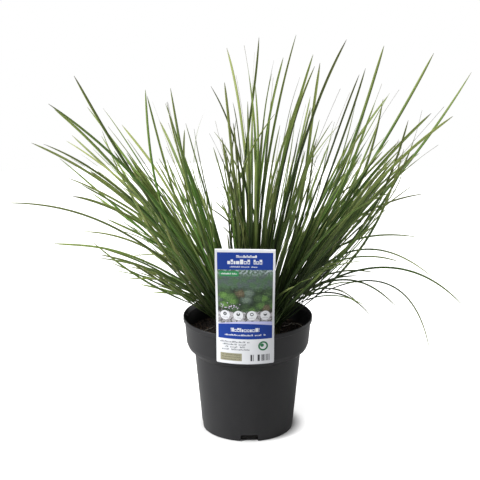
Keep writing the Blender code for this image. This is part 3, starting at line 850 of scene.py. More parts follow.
def stalk(foot, start, heading):
    """A leaf's path up its sheath: from upright in the potting mix to the direction in which it sets out."""
    steps = 6
    buried = SHEATH_SOLID + 4 * MM
    length = (start - foot).length
    risen = foot + Vector((0, 0, 0.45 * length))
    turned = start - heading * 0.35 * length
    points = [foot - Vector((0, 0, buried))]
    for step in range(steps):
        share = step / steps
        rest = 1 - share
        points.append(
            foot * rest**3 + risen * 3 * rest**2 * share + turned * 3 * rest * share**2 + start * share**3)
    return points


def blade_along(points, shares, ups, widths, turns, fold, tone, dry, fresh=0.0):
    """A blade on a path, from the directions its upper side faces, its widths and its turns."""
    folded_more = 2.2
    sheath_share = 0.12
    flattened = 0.6
    blade = Blade(points, [], [], [], [], tone, dry, fresh)
    for share, onward, up, width, angle in zip(shares, ways_onward(points), ups, widths, turns):
        up = square_to(onward, up)
        side = onward.cross(up)
        blade.across.append(side * math.cos(angle) + up * math.sin(angle))
        blade.up.append(up * math.cos(angle) - side * math.sin(angle))
        blade.half.append(max(THREAD, width) / 2)
        in_sheath = 1 - min(1.0, share / sheath_share)
        blade.fold.append(fold * (1 + folded_more * in_sheath) * (1 - flattened * share))
    return blade


def lies_low(leaf):
    """Whether a leaf leans out so far that it is nearer to level than to upright."""
    return leaf.tip.z - leaf.start.z < 0.8 * abs(leaf.tip.x - leaf.start.x)


def dressed(leaf, node, chance, length_share=1.0, aside=Vector((0, 0, 0)), width_share=1.0):
    """The blade that stands for a solid leaf, or one that grows beside it, a little shorter."""
    settings = bpy.context.scene.rush_leaves
    start = leaf.point(0)
    length = (leaf.tip - start).length
    side_sway = sway(length, chance)
    flat_sway = sway(length, chance)
    late_twist = chance.uniform(-1, 1) * settings.twist * (CALM_TWIST if leaf.arched else 1.0)
    facing = 1.0 if leaf.arched else clamp(settings.facing + chance.uniform(*FACING_VARIES))
    if lies_low(leaf):
        facing = 1.0
        late_twist *= CALM_TWIST
    points = stalk(leaf.foot, start, (leaf.bend - start + aside * 0.02).normalized())
    shares = [0.0] * len(points)
    count = ARCH_STEPS if leaf.arched else STEPS
    closer_by_tip = 1.25
    aside_late = 1.3
    for step in range(count):
        share = 1 - (1 - step / (count - 1)) ** closer_by_tip
        shares.append(share)
        points.append(leaf.point(share * length_share) + aside * share**aside_late)
    points = smoothed(points, 2)
    ups = [leaf.up(share * length_share) for share in shares]
    tangents = ways_onward(points)
    for index, (share, up, onward) in enumerate(zip(shares, ups, tangents)):
        up = square_to(onward, up)
        points[index] = points[index] + onward.cross(up) * side_sway(share) + up * flat_sway(share)
    turns = [
        late_twist * max(0.0, share - TWISTS_FROM) ** 1.2 - facing * gently(share / FACES_BY) * to_front
        for share, to_front in zip(shares, turns_to_front(ups, tangents))
    ]
    end, sharpness = tip_kind(chance)
    if leaf.arched:
        end = 1.0
        sharpness = ARCH_SHARPNESS
        width_share *= ARCH_WIDTH
    elif length_share < 1:
        sharpness = min(sharpness, FOLLOWER_SHARPNESS)
    if len(leaf.shares) == min(STATIONS):
        width_share *= SLIGHT_WIDTH
    full = leaf.width * settings.width * width_share * chance.uniform(*WIDTH_VARIES)
    widths = [full * taper(share, end, sharpness) for share in shares]
    tuft = node.split("_")[1]
    tone = clamp(chance.gauss(*TONES[tuft]))
    if leaf.arched:
        tone = LEFT_ARCH_TONE if tuft == "left" else tone * ARCH_TONE
    elif length_share < SHORT:
        tone *= SHORT_TONE
    dry = 1 - end + DRY_END * chance.random() ** 2
    fresh = chance.uniform(*(FRESHEST if node in FRESH_SHOOTS else LESS_FRESH))
    return blade_along(points, shares, ups, widths, turns, settings.fold, tone, dry, fresh)


def follower(leaf, node, chance, reach, widths):
    """A thinner, shorter leaf that grows along with a leaf of the solid, for a share of its length."""
    length = (leaf.tip - leaf.start).length
    apart = chance.choice(APART) * length
    aside = Vector((chance.uniform(-1, 1), chance.uniform(-1, 1), chance.uniform(-0.6, 0.6))) * apart
    return dressed(leaf, node, chance, chance.uniform(*reach), aside, chance.uniform(*widths))


def led_to(leaf, tip):
    """A leaf like another one of its sheath, but almost straight and with its own tip."""
    other = copy.copy(leaf)
    other.tip = tip
    other.bend = leaf.start.lerp(tip, 0.5) + Vector((0, 0, 0.04 * (tip - leaf.start).length))
    return other


def bunched(leaves, node, chance):
    """The blades that a shoot gives to the dense bunches of its tuft."""
    blades = []
    for shoots, count, tone, fresh, one, other in BUNCHES:
        for _ in range(count if node in shoots else 0):
            share = chance.random()
            across, up, depth = [low + (high - low) * share for low, high in zip(one, other)]
            reach = chance.uniform(0.84, 1.0)
            tip = behind(across * reach * MM, up * reach * MM, depth * MM)
            nearest = min(leaves, key=lambda leaf: (leaf.tip - tip).length)
            blade = dressed(led_to(nearest, tip), node, chance)
            blade.tone = tone + chance.uniform(-0.2, 0.2)
            blade.fresh = fresh
            blades.append(blade)
    return blades


def behind(across, up, depth):
    """The point that the front view shows across and up from the crown, at a depth behind the pot's axis."""
    sight = Vector((across, 0, MIX_TOP)) + SKYWARD * up - EYE
    return EYE + sight * ((depth - EYE.y) / sight.y)


def bent_leaf(foot, width, places, chance):
    """A thin leaf from a sheath through the points that the front view shows."""
    settings = bpy.context.scene.rush_leaves
    spacing = 9 * MM
    corners = [behind(across * MM, up * MM, depth * MM) for across, up, depth in places]
    points = stalk(foot, corners[0], (corners[1] - corners[0]).normalized())
    for here, after in zip(corners, corners[1:]):
        steps = max(3, round((after - here).length / spacing))
        points += [here.lerp(after, step / steps) for step in range(steps)]
    points.append(corners[-1])
    points = smoothed(points, 3)
    shares = [step / (len(points) - 1) for step in range(len(points))]
    facing = chance.uniform(-0.5, 0.5)
    turns = [facing + share for share in shares]
    widths = [width * taper(share) for share in shares]
    ups = [Vector((0, -1, 0.2))] * len(points)
    tone = chance.uniform(0.0, 0.4)
    return blade_along(points, shares, ups, widths, turns, settings.fold, tone, DRY_END)


def dress_piece(piece, slot, *nodes):
    """Say what a finished piece rides on, and hide the solids that it stands for. The slot, its finish, is
    not used.
    """
    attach(piece, "root")
    if nodes:
        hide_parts(*nodes)


def lathe(outline, sides):
    """Points and faces of an outline of (radius, height) turned about Z, from bottom middle to top middle."""
    points = [Vector((0, 0, outline[0][1]))]
    for radius, height in outline[1:-1]:
        for side in range(sides):
            angle = math.tau * side / sides
            points.append(Vector((radius * math.sin(angle), -radius * math.cos(angle), height)))
    points.append(Vector((0, 0, outline[-1][1])))
    faces = []
    rings = len(outline) - 2
    for side in range(sides):
        after = (side + 1) % sides
        faces.append((0, 1 + after, 1 + side))
        for ring in range(rings - 1):
            low = 1 + ring * sides
            faces.append((low + side, low + after, low + sides + after, low + sides + side))
        top = 1 + (rings - 1) * sides
        faces.append((top + side, top + after, len(points) - 1))
    return points, faces


def rounded(corners, radii):
    """An outline with each corner rounded by an arc of about the given radius."""
    steps = 4
    outline = [corners[0]]
    for before, here, after, radius in zip(corners, corners[1:], corners[2:], radii[1:]):
        here = Vector(here)
        back = Vector(before) - here
        onward = Vector(after) - here
        turn = math.pi - back.angle(onward)
        if radius <= 0 or turn < 0.02:
            outline.append(tuple(here))
            continue
        reach = min(radius * math.tan(turn / 2), 0.45 * back.length, 0.45 * onward.length)
        one = here + back.normalized() * reach
        other = here + onward.normalized() * reach
        for step in range(steps + 1):
            outline.append(tuple(point_on_curve(one, here, other, step / steps)))
    outline.append(corners[-1])
    return outline


def mesh_of(name, points, faces):
    mesh = bpy.data.meshes.new(name)
    mesh.from_pydata(points, [], faces)
    return mesh


def soften(mesh, degrees):
    """Shade a mesh smooth, except over edges that turn by more than an angle."""
    mesh.shade_smooth()
    mesh.set_sharp_from_angle(angle=math.radians(degrees))


def cut_out(piece, cutters):
    """Take the cutters out of a piece, and remove them."""
    for cutter in cutters:
        boolean = piece.modifiers.new("cut", "BOOLEAN")
        boolean.operation = "DIFFERENCE"
        boolean.object = cutter
    apply_modifiers(piece)
    for cutter in cutters:
        bpy.data.objects.remove(cutter)


def outward(mesh):
    """Turn a closed mesh's faces outwards."""
    shape = bmesh.new()
    shape.from_mesh(mesh)
    bmesh.ops.recalc_face_normals(shape, faces=shape.faces)
    shape.to_mesh(mesh)
    shape.free()


def turn_mesh(piece, angle):
    """Turn a piece's mesh about the pot's axis, and leave its object unturned."""
    for point in piece.data.vertices:
        x, y, z = point.co
        point.co = (x * math.cos(angle) - y * math.sin(angle), x * math.sin(angle) + y * math.cos(angle), z)


def cutter_of(mesh, angle):
    """A closed mesh as a cutter, with its faces outwards, turned about the pot's axis."""
    outward(mesh)
    cutter = placed(mesh.name, mesh)
    turn_mesh(cutter, angle)
    return cutter


def notch_cutter(angle):
    """A drainage notch's cutter: a slot with round upper corners, through the wall at the pot's foot."""
    half = NOTCH_WIDTH / 2
    steps = 6
    arch = [(half, -NOTCH_HEIGHT)]
    for side in (1, -1):
        for step in range(steps + 1):
            turn = math.pi / 2 * (step if side > 0 else steps - step) / steps
            across = half - NOTCH_CORNER + NOTCH_CORNER * math.cos(turn)
            arch.append((side * across, NOTCH_HEIGHT - NOTCH_CORNER + NOTCH_CORNER * math.sin(turn)))
    arch.append((-half, -NOTCH_HEIGHT))
    arch.reverse()
    points = [Vector((x, -depth, z)) for depth in (NOTCH_INNER_RADIUS, RIM_RADIUS) for x, z in arch]
    count = len(arch)
    faces = [tuple(range(count)), tuple(range(count, 2 * count))[::-1]]
    faces += [(n, count + n, count + (n + 1) % count, (n + 1) % count) for n in range(count)]
    return cutter_of(mesh_of("notch_cutter", points, faces), angle)


def hanger_cutter(side):
    """A hanger hole's cutter: a rod through the collar's wall."""
    maker = bmesh.new()
    bmesh.ops.create_cone(
        maker, cap_ends=True, segments=20, radius1=HANGER_RADIUS, radius2=HANGER_RADIUS, depth=30 * MM)
    for point in maker.verts:
        x, y, z = point.co
        point.co = Vector((z + side * RIM_RADIUS, x, y + POT_HEIGHT - HANGER_DROP))
    mesh = bpy.data.meshes.new("hanger_cutter")
    maker.to_mesh(mesh)
    maker.free()
    return cutter_of(mesh, side * HANGER_ANGLE)


class POT_OT_make(bpy.types.Operator):
    """Turn the pot on its outline, and cut its drainage notches and hanger holes"""

    bl_idname = "mat_rush.make_pot"
    bl_label = "Make Pot"

    def outline(self, lip_round):
        """The pot's corners from its underside up the outside and down the inside, and their rounding."""
        corners = [
            (0, 0, 0),
            (BASE_RADIUS - 0.5 * MM, 0, 1.4 * MM),
            (BODY_TOP_RADIUS, BODY_TOP, 2.5 * MM),
            (BODY_TOP_RADIUS + 3.4 * MM, BODY_TOP + 3 * MM, 4 * MM),
            (COLLAR_FOOT_RADIUS - 2.2 * MM, COLLAR_FOOT - 6 * MM, 7 * MM),
            (COLLAR_FOOT_RADIUS, COLLAR_FOOT, 7 * MM),
            (COLLAR_TOP_RADIUS, POT_HEIGHT - LIP_DEPTH - 0.8 * MM, 0.8 * MM),
            (RIM_RADIUS, POT_HEIGHT - LIP_DEPTH, lip_round),
            (RIM_RADIUS, POT_HEIGHT, lip_round),
            (RIM_RADIUS - WALL, POT_HEIGHT, lip_round),
            (COLLAR_TOP_RADIUS - WALL, POT_HEIGHT - LIP_DEPTH - 0.8 * MM, 2 * MM),
            (COLLAR_FOOT_RADIUS - WALL, COLLAR_FOOT, 3 * MM),
            (COLLAR_FOOT_RADIUS - 2.6 * MM - WALL, COLLAR_FOOT - 4.8 * MM, 2 * MM),
            (BODY_TOP_RADIUS + 2.7 * MM - WALL, BODY_TOP + 4 * MM, 2 * MM),
            (BODY_TOP_RADIUS - WALL, BODY_TOP + 0.6 * MM, 2 * MM),
            (BASE_RADIUS - 0.2 * MM - WALL, FLOOR + 3 * MM, 1 * MM),
            (BASE_RADIUS - 3 * MM, FLOOR, 1 * MM),
            (0, FLOOR, 0),
        ]
        return rounded([corner[:2] for corner in corners], [corner[2] for corner in corners])

    def execute(self, context):
        settings = context.scene.rush_pot
        shell = lathe(self.outline(settings.lip_round), settings.sides)
        pot = placed("nursery_pot", mesh_of("nursery_pot", *shell))
        cutters = [notch_cutter(quarter * math.pi / 2 + NOTCH_TURN) for quarter in range(4)]
        cutters += [hanger_cutter(side) for side in (-1, 1)]
        cut_out(pot, cutters)
        pot.data.materials.clear()
        pot.data.materials.append(pot_material())
        soften(pot.data, 35)
        dress_piece(pot, "pot_plastic", "pot")
        return {"FINISHED"}


def mix_height(radius):
    """The potting mix's level: flat about the crown, and a little lower by the wall."""
    flat_within = 0.55
    falls_over = 0.4
    rise = clamp((radius / RIM_RADIUS - flat_within) / falls_over)
    return MIX_TOP - MIX_EDGE_DROP * rise * rise


def grain_tree():
    """Scatters bark grains over the mix's surface."""
    board, given, out = new_group(
        "bark_grains",
        {"Surface": "Geometry", "Grains": 1000.0, "Size": 1.0, "Seed": 3, "Material": "Material"},
        {"Mix": "Geometry"},
        "GeometryNodeTree",
    )
    facing = board.split(board.geometry("InputNormal"))["Z"]
    level = board.split(board.geometry("InputPosition"))["Z"]
    surface_low = MIX_TOP - MIX_EDGE_DROP - 4 * MM
    faces_up = board.math("GREATER_THAN", facing, 0.3)
    upper = board.times(faces_up, board.math("GREATER_THAN", level, surface_low))
    spots = board.geometry("DistributePointsOnFaces", {
        "Mesh": given["Surface"], "Selection": upper, "Density": given["Grains"], "Seed": given["Seed"],
    })
    # Each grain is a small ball, made knobbly, then turned and stretched at random
    ball = board.geometry("MeshIcoSphere", {"Radius": given["Size"], "Subdivisions": 1})
    knob = 0.3
    knobs = board.random_vector((-knob, -knob, -knob), (knob, knob, knob), 5)
    ragged = board.vector("MULTIPLY", board.geometry("InputPosition"), knobs)
    ball = board.geometry("SetPosition", {"Geometry": ball, "Offset": ragged})
    grains = board.geometry("InstanceOnPoints", {
        "Points": spots, "Instance": ball,
        "Rotation": board.random_vector((0, 0, 0), (math.tau, math.tau, math.tau), 11),
        "Scale": board.random_vector((0.3, 0.3, 0.2), (2.0, 1.1, 0.7), 17),
    })
    # Most are dark and a few are light, on dark crumbs
    mostly_dark = 3.5
    crumbs_tone = 0.08
    shade = board.node("FunctionNodeRandomValue", {"Seed": 23}, data_type="FLOAT").outputs[1]
    shade = board.math("POWER", shade, mostly_dark)
    grains = store(board, grains, "grain_tone", shade, "FLOAT", "INSTANCE")
    body = store(board, given["Surface"], "grain_tone", crumbs_tone)
    joined = board.node("GeometryNodeJoinGeometry")
    board.feed(joined.inputs[0], body)
    board.feed(joined.inputs[0], grains)
    mix = board.geometry("RealizeInstances", {"Geometry": joined.outputs[0]})
    mix = board.geometry("SetMaterial", {"Geometry": mix, "Material": given["Material"]})
    board.feed(out["Mix"], mix)
    return board.tree


class MIX_OT_make(bpy.types.Operator):
    """Fill the pot with potting mix, with bark grains and dry leaf bits on it"""

    bl_idname = "mat_rush.make_mix"
    bl_label = "Make Potting Mix"

    def body(self, lumps):
        """The mix as a turned solid whose surface is lumpy."""
        edge_radius = MIX_RADIUS - 0.5 * MM
        outline = [
            (0, FLOOR + GAP),
            (BASE_RADIUS - 3.5 * MM, FLOOR + GAP),
            (BASE_RADIUS - 2.2 * MM, FLOOR + 3.5 * MM),
            (BODY_TOP_RADIUS - WALL - 0.5 * MM, BODY_TOP + 1 * MM),
            (BODY_TOP_RADIUS + 2.2 * MM - WALL, BODY_TOP + 4.5 * MM),
            (COLLAR_FOOT_RADIUS - 3.2 * MM - WALL, COLLAR_FOOT - 4.6 * MM),
            (COLLAR_FOOT_RADIUS - WALL - 0.6 * MM, COLLAR_FOOT + 0.5 * MM),
        ]
        sides = 120
        rings = 44
        for step in range(rings):
            radius = edge_radius * (1 - step / rings)
            outline.append((radius, mix_height(radius)))
        outline.append((0, MIX_TOP))
        points, faces = lathe(outline, sides)
        # Lumps of two sizes, each as a number of them in a metre, which fade out towards the wall
        fine = 190
        broad = 60
        fades_over = 2 * MM
        for point in points:
            above = point.z - (MIX_TOP - MIX_EDGE_DROP - fades_over)
            if above <= 0:
                continue
            rough = noise.fractal(point * fine, 1.0, 2.0, 4) + 0.5 * noise.noise(point * broad)
            point.z += lumps * rough * min(1.0, above / fades_over) - 0.4 * lumps
        return points, faces

    def straws(self, count, chance):
        """Dry bits of leaf that lie on the mix, each a slightly bent strip."""
        strips = []
        for _ in range(count):
            angle = chance.uniform(0, math.tau)
            radius = chance.uniform(38, 74) * MM
            heading = chance.uniform(0, math.tau)
            length = chance.uniform(7, 26) * MM
            bend = chance.uniform(-0.8, 0.8)
            middle = Vector((radius * math.sin(angle), -radius * math.cos(angle), 0))
            points = []
            across = []
            steps = 9
            for step in range(steps):
                share = step / (steps - 1) - 0.5
                way = heading + bend * share
                point = middle + Vector((math.cos(way), math.sin(way), 0)) * share * length
                reach = min(point.length, MIX_RADIUS - 3 * MM)
                point = point.normalized() * reach
                point.z = mix_height(reach) + (1.1 + 0.9 * math.cos(share * 2.6)) * MM
                points.append(point)
                across.append(Vector((-math.sin(way), math.cos(way), chance.uniform(-0.1, 0.1))).normalized())
            half = [chance.uniform(0.35, 0.9) * MM] * steps
            tone = chance.random()
            strips.append(Blade(points, across, [Vector((0, 0, 1))] * steps, half, [0.3] * steps, tone, 1.0))
        return strips

    def execute(self, context):
        settings = context.scene.rush_mix
        source = mesh_of("mix_body", *self.body(settings.lumps))
        source.shade_smooth()
        mix = grown("potting_mix_dressed", source, grain_tree(), {
            "Grains": settings.grains, "Size": settings.grain_size, "Seed": 3, "Material": mix_material(),
        })
        dress_piece(mix, "potting_mix", "potting_mix")
        strips = self.straws(settings.straws, random.Random(4))
        litter = grown("leaf_litter", path_mesh("litter", strips), blade_tree(), {
            "Thickness": 0.3, "Section Points": 8, "Material": leaf_material("dry_leaf", False),
        })
        dress_piece(litter, "leaf")
        return {"FINISHED"}


def label_point(across, height):
    """The middle of the card's panel: wrapped round the collar below, flat at the top."""
    loose = clamp((height - POT_HEIGHT) / (LABEL_TOP - POT_HEIGHT))
    below_lip = min(1.0, (height - LABEL_FOOT) / (LABEL_LIP_HEIGHT - LABEL_FOOT))
    stand_off = LABEL_FOOT_STAND_OFF + below_lip * (LABEL_LIP_STAND_OFF - LABEL_FOOT_STAND_OFF)
    stand_off += loose * (LABEL_STAND_OFF - LABEL_LIP_STAND_OFF)
    angle = across / LABEL_WRAP_RADIUS
    back = LABEL_WRAP_RADIUS * (1 - math.cos(angle)) - stand_off
    bent = Vector((LABEL_WRAP_RADIUS * math.sin(angle), back, height))
    return Vector((across, -stand_off, height)).lerp(bent, 1 - gently(loose))


def printed_line():
    """A line of plain bars of uneven width and height, in place of words, in millimetres."""
    board, given, out = new_group("printed_line", {**SHAPE_SOCKETS, "Number": 0.0}, {"Mask": "Float"})
    parts = board.split(given["Place"])
    pitch = board.times(given["Half Height"], 1.35)
    along = board.plus(board.math("DIVIDE", parts["X"], pitch), board.times(given["Number"], 7.3))
    edge = board.cells(along, "DISTANCE_TO_EDGE", on_line=True)["Distance"]
    gaps = board.ramp(edge, 0.07, 0.13)
    kind = board.split(board.cells(along, on_line=True)["Color"])
    tall = board.math("GREATER_THAN", kind["X"], 0.65)
    filled = board.math("LESS_THAN", kind["Y"], 0.86)
    pierced = board.math("GREATER_THAN", kind["Z"], 0.35)
    rise = board.math("DIVIDE", board.minus(parts["Y"], given["Y"]), given["Half Height"])
    short = board.ramp(rise, 0.42, 0.3)
    off_middle = board.math("ABSOLUTE", board.plus(rise, 0.3))
    hollow = board.times(board.times(board.ramp(edge, 0.24, 0.3), board.ramp(off_middle, 0.42, 0.3)), pierced)
    block = board.group(
        shared(label_block), Place=given["Place"], X=given["X"], Y=given["Y"],
        Half_Width=given["Half Width"], Half_Height=given["Half Height"],
    )["Mask"]
    shown = board.times(board.times(gaps, filled), board.math("MAXIMUM", tall, short))
    board.feed(out["Mask"], board.times(block, board.times(shown, board.minus(1.0, hollow))))
    return board.tree


class LabelPrint:
    """Paints the card's front, one layer over another, in millimetres from the middle of its lower edge."""

    def __init__(self, board, place, paper):
        self.board = board
        self.place = place
        self.card = paper

    def stamp(self, group, x, y, half_width, half_height, place=None, **more):
        """Where a shape of the label's groups covers the card."""
        return self.board.group(
            shared(group), Place=place or self.place, X=x, Y=y,
            Half_Width=half_width, Half_Height=half_height, **more,
        )["Mask"]

    def mask(self, x, y, half_width, half_height, corner=0.0, place=None):
        return self.stamp(label_block, x, y, half_width, half_height, place, Corner=corner)

    def paint(self, mask, colour):
        self.card = self.board.mix(mask, self.card, colour)

    def block(self, x, y, half_width, half_height, colour, corner=0.0):
        self.paint(self.mask(x, y, half_width, half_height, corner), colour)

    def disc(self, x, y, radius, colour, within=None):
        disc = self.mask(x, y, radius, radius, radius)
        self.paint(self.board.times(within, disc) if within else disc, colour)

    def words(self, x, y, half_width, half_height, colour, number):
        """A line of plain bars in place of words, which the number makes unlike the others."""
        self.paint(self.stamp(printed_line, x, y, half_width, half_height, Number=float(number)), colour)


def wavering(board, place, one, one_reach, other, other_reach):
    """A place moved across by one noise and up by the other, as far as their reaches either way."""
    across = board.line(one, 2 * one_reach, -one_reach)
    return board.vector("ADD", place, board.combine(across, board.line(other, 2 * other_reach, -other_reach)))


def garden_picture(label):
    """The card's picture: rounded shrubs and pale flowers by a stone path, in a garden's greens."""
    board = label.board
    place = label.place
    height = board.split(place)["Y"]
    fine = board.noise(place, 1.1, 3.0, 0.7)
    leafy = board.ramp(fine, 0.32, 0.68)
    stirred = board.noise(place, 0.35, 4.0, 0.7)
    broad = board.ramp(board.noise(place, 0.11, 3.0, 0.6), 0.35, 0.65)
    # Trees far back, and glimpses of a pale sky
    trees = board.mix(leafy, (0.006, 0.013, 0.009), (0.105, 0.135, 0.135))
    picture = board.mix(broad, trees, board.mix(leafy, (0.012, 0.034, 0.014), (0.085, 0.160, 0.080)))
    glimpse = board.times(board.ramp(height, 115, 124), board.ramp(stirred, 0.45, 0.6))
    picture = board.mix(glimpse, picture, (0.26, 0.31, 0.32))
    # Shrubs of several kinds, each darker towards its edge
    ragged = wavering(board, place, fine, 2.5, stirred, 4.5)
    bushes = board.cells(board.vector("MULTIPLY", ragged, (0.075, 0.105, 0.0)))
    kind = board.split(bushes["Color"])
    bush = (0.022, 0.055, 0.022)
    for part, low, high, colour in (
        ("X", 0.35, 0.45, (0.060, 0.140, 0.030)),
        ("X", 0.70, 0.75, (0.090, 0.210, 0.035)),
        ("Y", 0.88, 0.90, (0.120, 0.060, 0.050)),
        ("Y", 0.16, 0.14, (0.120, 0.150, 0.150)),
    ):
        bush = board.mix(board.ramp(kind[part], low, high), bush, colour)
    rounding = board.ramp(bushes["Distance"], 0.15, 0.75, 1.0, 0.12)
    lit = board.times(rounding, board.line(fine, 4.2, -1.3), clamp=True)
    leaves = board.mix(board.ramp(fine, 0.45, 0.75), bush, (0.17, 0.26, 0.09))
    shrubs = board.mix(lit, (0.004, 0.010, 0.005), leaves)
    edge = board.ramp(board.line(stirred, 22.0, height), 116, 108)
    picture = board.mix(board.times(edge, 0.92), picture, shrubs)
    # A bed of pale flowers, and a path of stone slabs
    wavy = wavering(board, place, stirred, 5.0, stirred, 7.0)
    petals = board.ramp(board.cells(place, scale=0.5)["Distance"], 0.42, 0.22)
    bed = board.times(petals, label.mask(-19, 77, 15, 3.5, 3, wavy))
    picture = board.mix(bed, picture, (0.48, 0.40, 0.55))
    joints = board.cells(board.vector("MULTIPLY", wavy, (0.10, 0.19, 1.0)), "DISTANCE_TO_EDGE")["Distance"]
    slabs = board.mix(leafy, (0.17, 0.165, 0.17), (0.42, 0.41, 0.43))
    path = board.mix(board.ramp(joints, 0.02, 0.12), (0.045, 0.045, 0.04), slabs)
    return board.mix(label.mask(6, 62, 46, 8, 4, wavy), picture, path)


def label_front_material():
    """The card's printed front: a blue head, a garden picture with badges, a blue hill, and a bare foot."""
    settings = bpy.context.scene.rush_label
    blue = settings.blue
    white = (0.52, 0.53, 0.55)
    grey = (0.10, 0.11, 0.12)
    leaf_green = (0.02, 0.12, 0.05)
    print_half = 34.8
    made, board, shader = new_material("label_print", Specular_IOR_Level=0.22)
    uv = board.node("ShaderNodeUVMap", uv_map="UVMap").outputs["UV"]
    size = (LABEL_WIDTH / MM, (LABEL_TOP - LABEL_FOOT) / MM, 1.0)
    place = board.vector("MULTIPLY", board.vector("SUBTRACT", uv, (0.5, 0.0, 0.0)), size)
    label = LabelPrint(board, place, settings.paper)
    label.block(0, 90, print_half, 36, garden_picture(label))
    # The head, with a tab that hangs from it
    label.block(0, 137, print_half, 11.2, blue)
    label.words(2, 143, 13, 1.6, white, 1)
    label.words(0, 136, 22, 3.0, white, 2)
    label.words(-2, 129.6, 17, 0.8, white, 3)
    tab = (-20, 120.5)
    label.block(*tab, 12, 3.4, (0.015, 0.16, 0.05), 1.6)
    label.words(*tab, 10, 1.0, white, 4)
    # A row of badges on the picture
    first = -25.5
    apart = 17
    dot_height = 67.2
    for number in range(4):
        x = first + apart * number
        label.disc(x, 65.5, 6.2, white)
        label.disc(x, dot_height, 2.3, (0.03, 0.035, 0.035))
        label.block(x, dot_height + number % 2, 0.5 + 0.4 * number, 1.0, white, 0.4)
        label.words(x, 62.4, 3.6, 0.5, grey, 5 + number)
    # The hill: two wide discs, the upper one pale
    inside = label.mask(0, 75, print_half, 80)
    hill_radius = 206
    label.disc(9, -148.2, hill_radius, (0.36, 0.37, 0.56), inside)
    label.disc(-3, -151.2, hill_radius, blue, inside)
    label.words(0, 46.3, 18, 2.5, white, 11)
    label.words(0, 39.3, 26, 1.0, white, 12)
    # The bare foot, with a dot in a ring, lines in place of small print, and uneven bars
    label.block(0, 13.7, 40, 20.2, settings.paper)
    ring = (23, 24.5)
    label.disc(*ring, 6.4, leaf_green)
    label.disc(*ring, 4.2, settings.paper)
    label.disc(21.6, 25.6, 2.4, leaf_green)
    for line in range(4):
        label.words(-13, 30 - 3.4 * line, 19 - 3 * (line % 3), 1.1, grey, 13 + line)
    label.block(-18, 9.3, 14, 5.2, (0.22, 0.21, 0.14))
    for line in range(3):
        label.words(-18, 12.4 - 3.1 * line, 12, 0.7, (0.08, 0.08, 0.06), 18 + line)
    bars = board.ramp(board.noise(board.combine(board.split(place)["X"], 3.3), 0.8, 0.0), 0.45, 0.48)
    label.paint(board.times(bars, label.mask(19, 8.6, 12.5, 4.4)), (0.03, 0.03, 0.035))
    grain = board.grain(0.5 * MM)
    rough = board.line(grain["Broad"], 0.14, 0.28)
    coat(board, shader, label.card, rough, grain["Fine"], strength=0.04, depth=0.03 * MM)
    return made


def label_back_material():
    """The card's bare back, a little soiled."""
    paper = bpy.context.scene.rush_label.paper
    made, board, shader = new_material("label_card_back", Specular_IOR_Level=0.4)
    grain = board.grain(0.6 * MM)
    colour = board.mix(board.ramp(grain["Broad"], 0.45, 0.8, 0.0, 0.5), paper, toned(paper, 0.72))
    rough = board.line(grain["Fine"], 0.15, 0.45)
    coat(board, shader, colour, rough, grain["Fine"], strength=0.1, depth=0.04 * MM)
    return made


def between(start, end, steps):
    """Points of a straight line after its start, up to and with its end."""
    return [
        (start[0] + (end[0] - start[0]) * step / steps, start[1] + (end[1] - start[1]) * step / steps)
        for step in range(1, steps + 1)
    ]


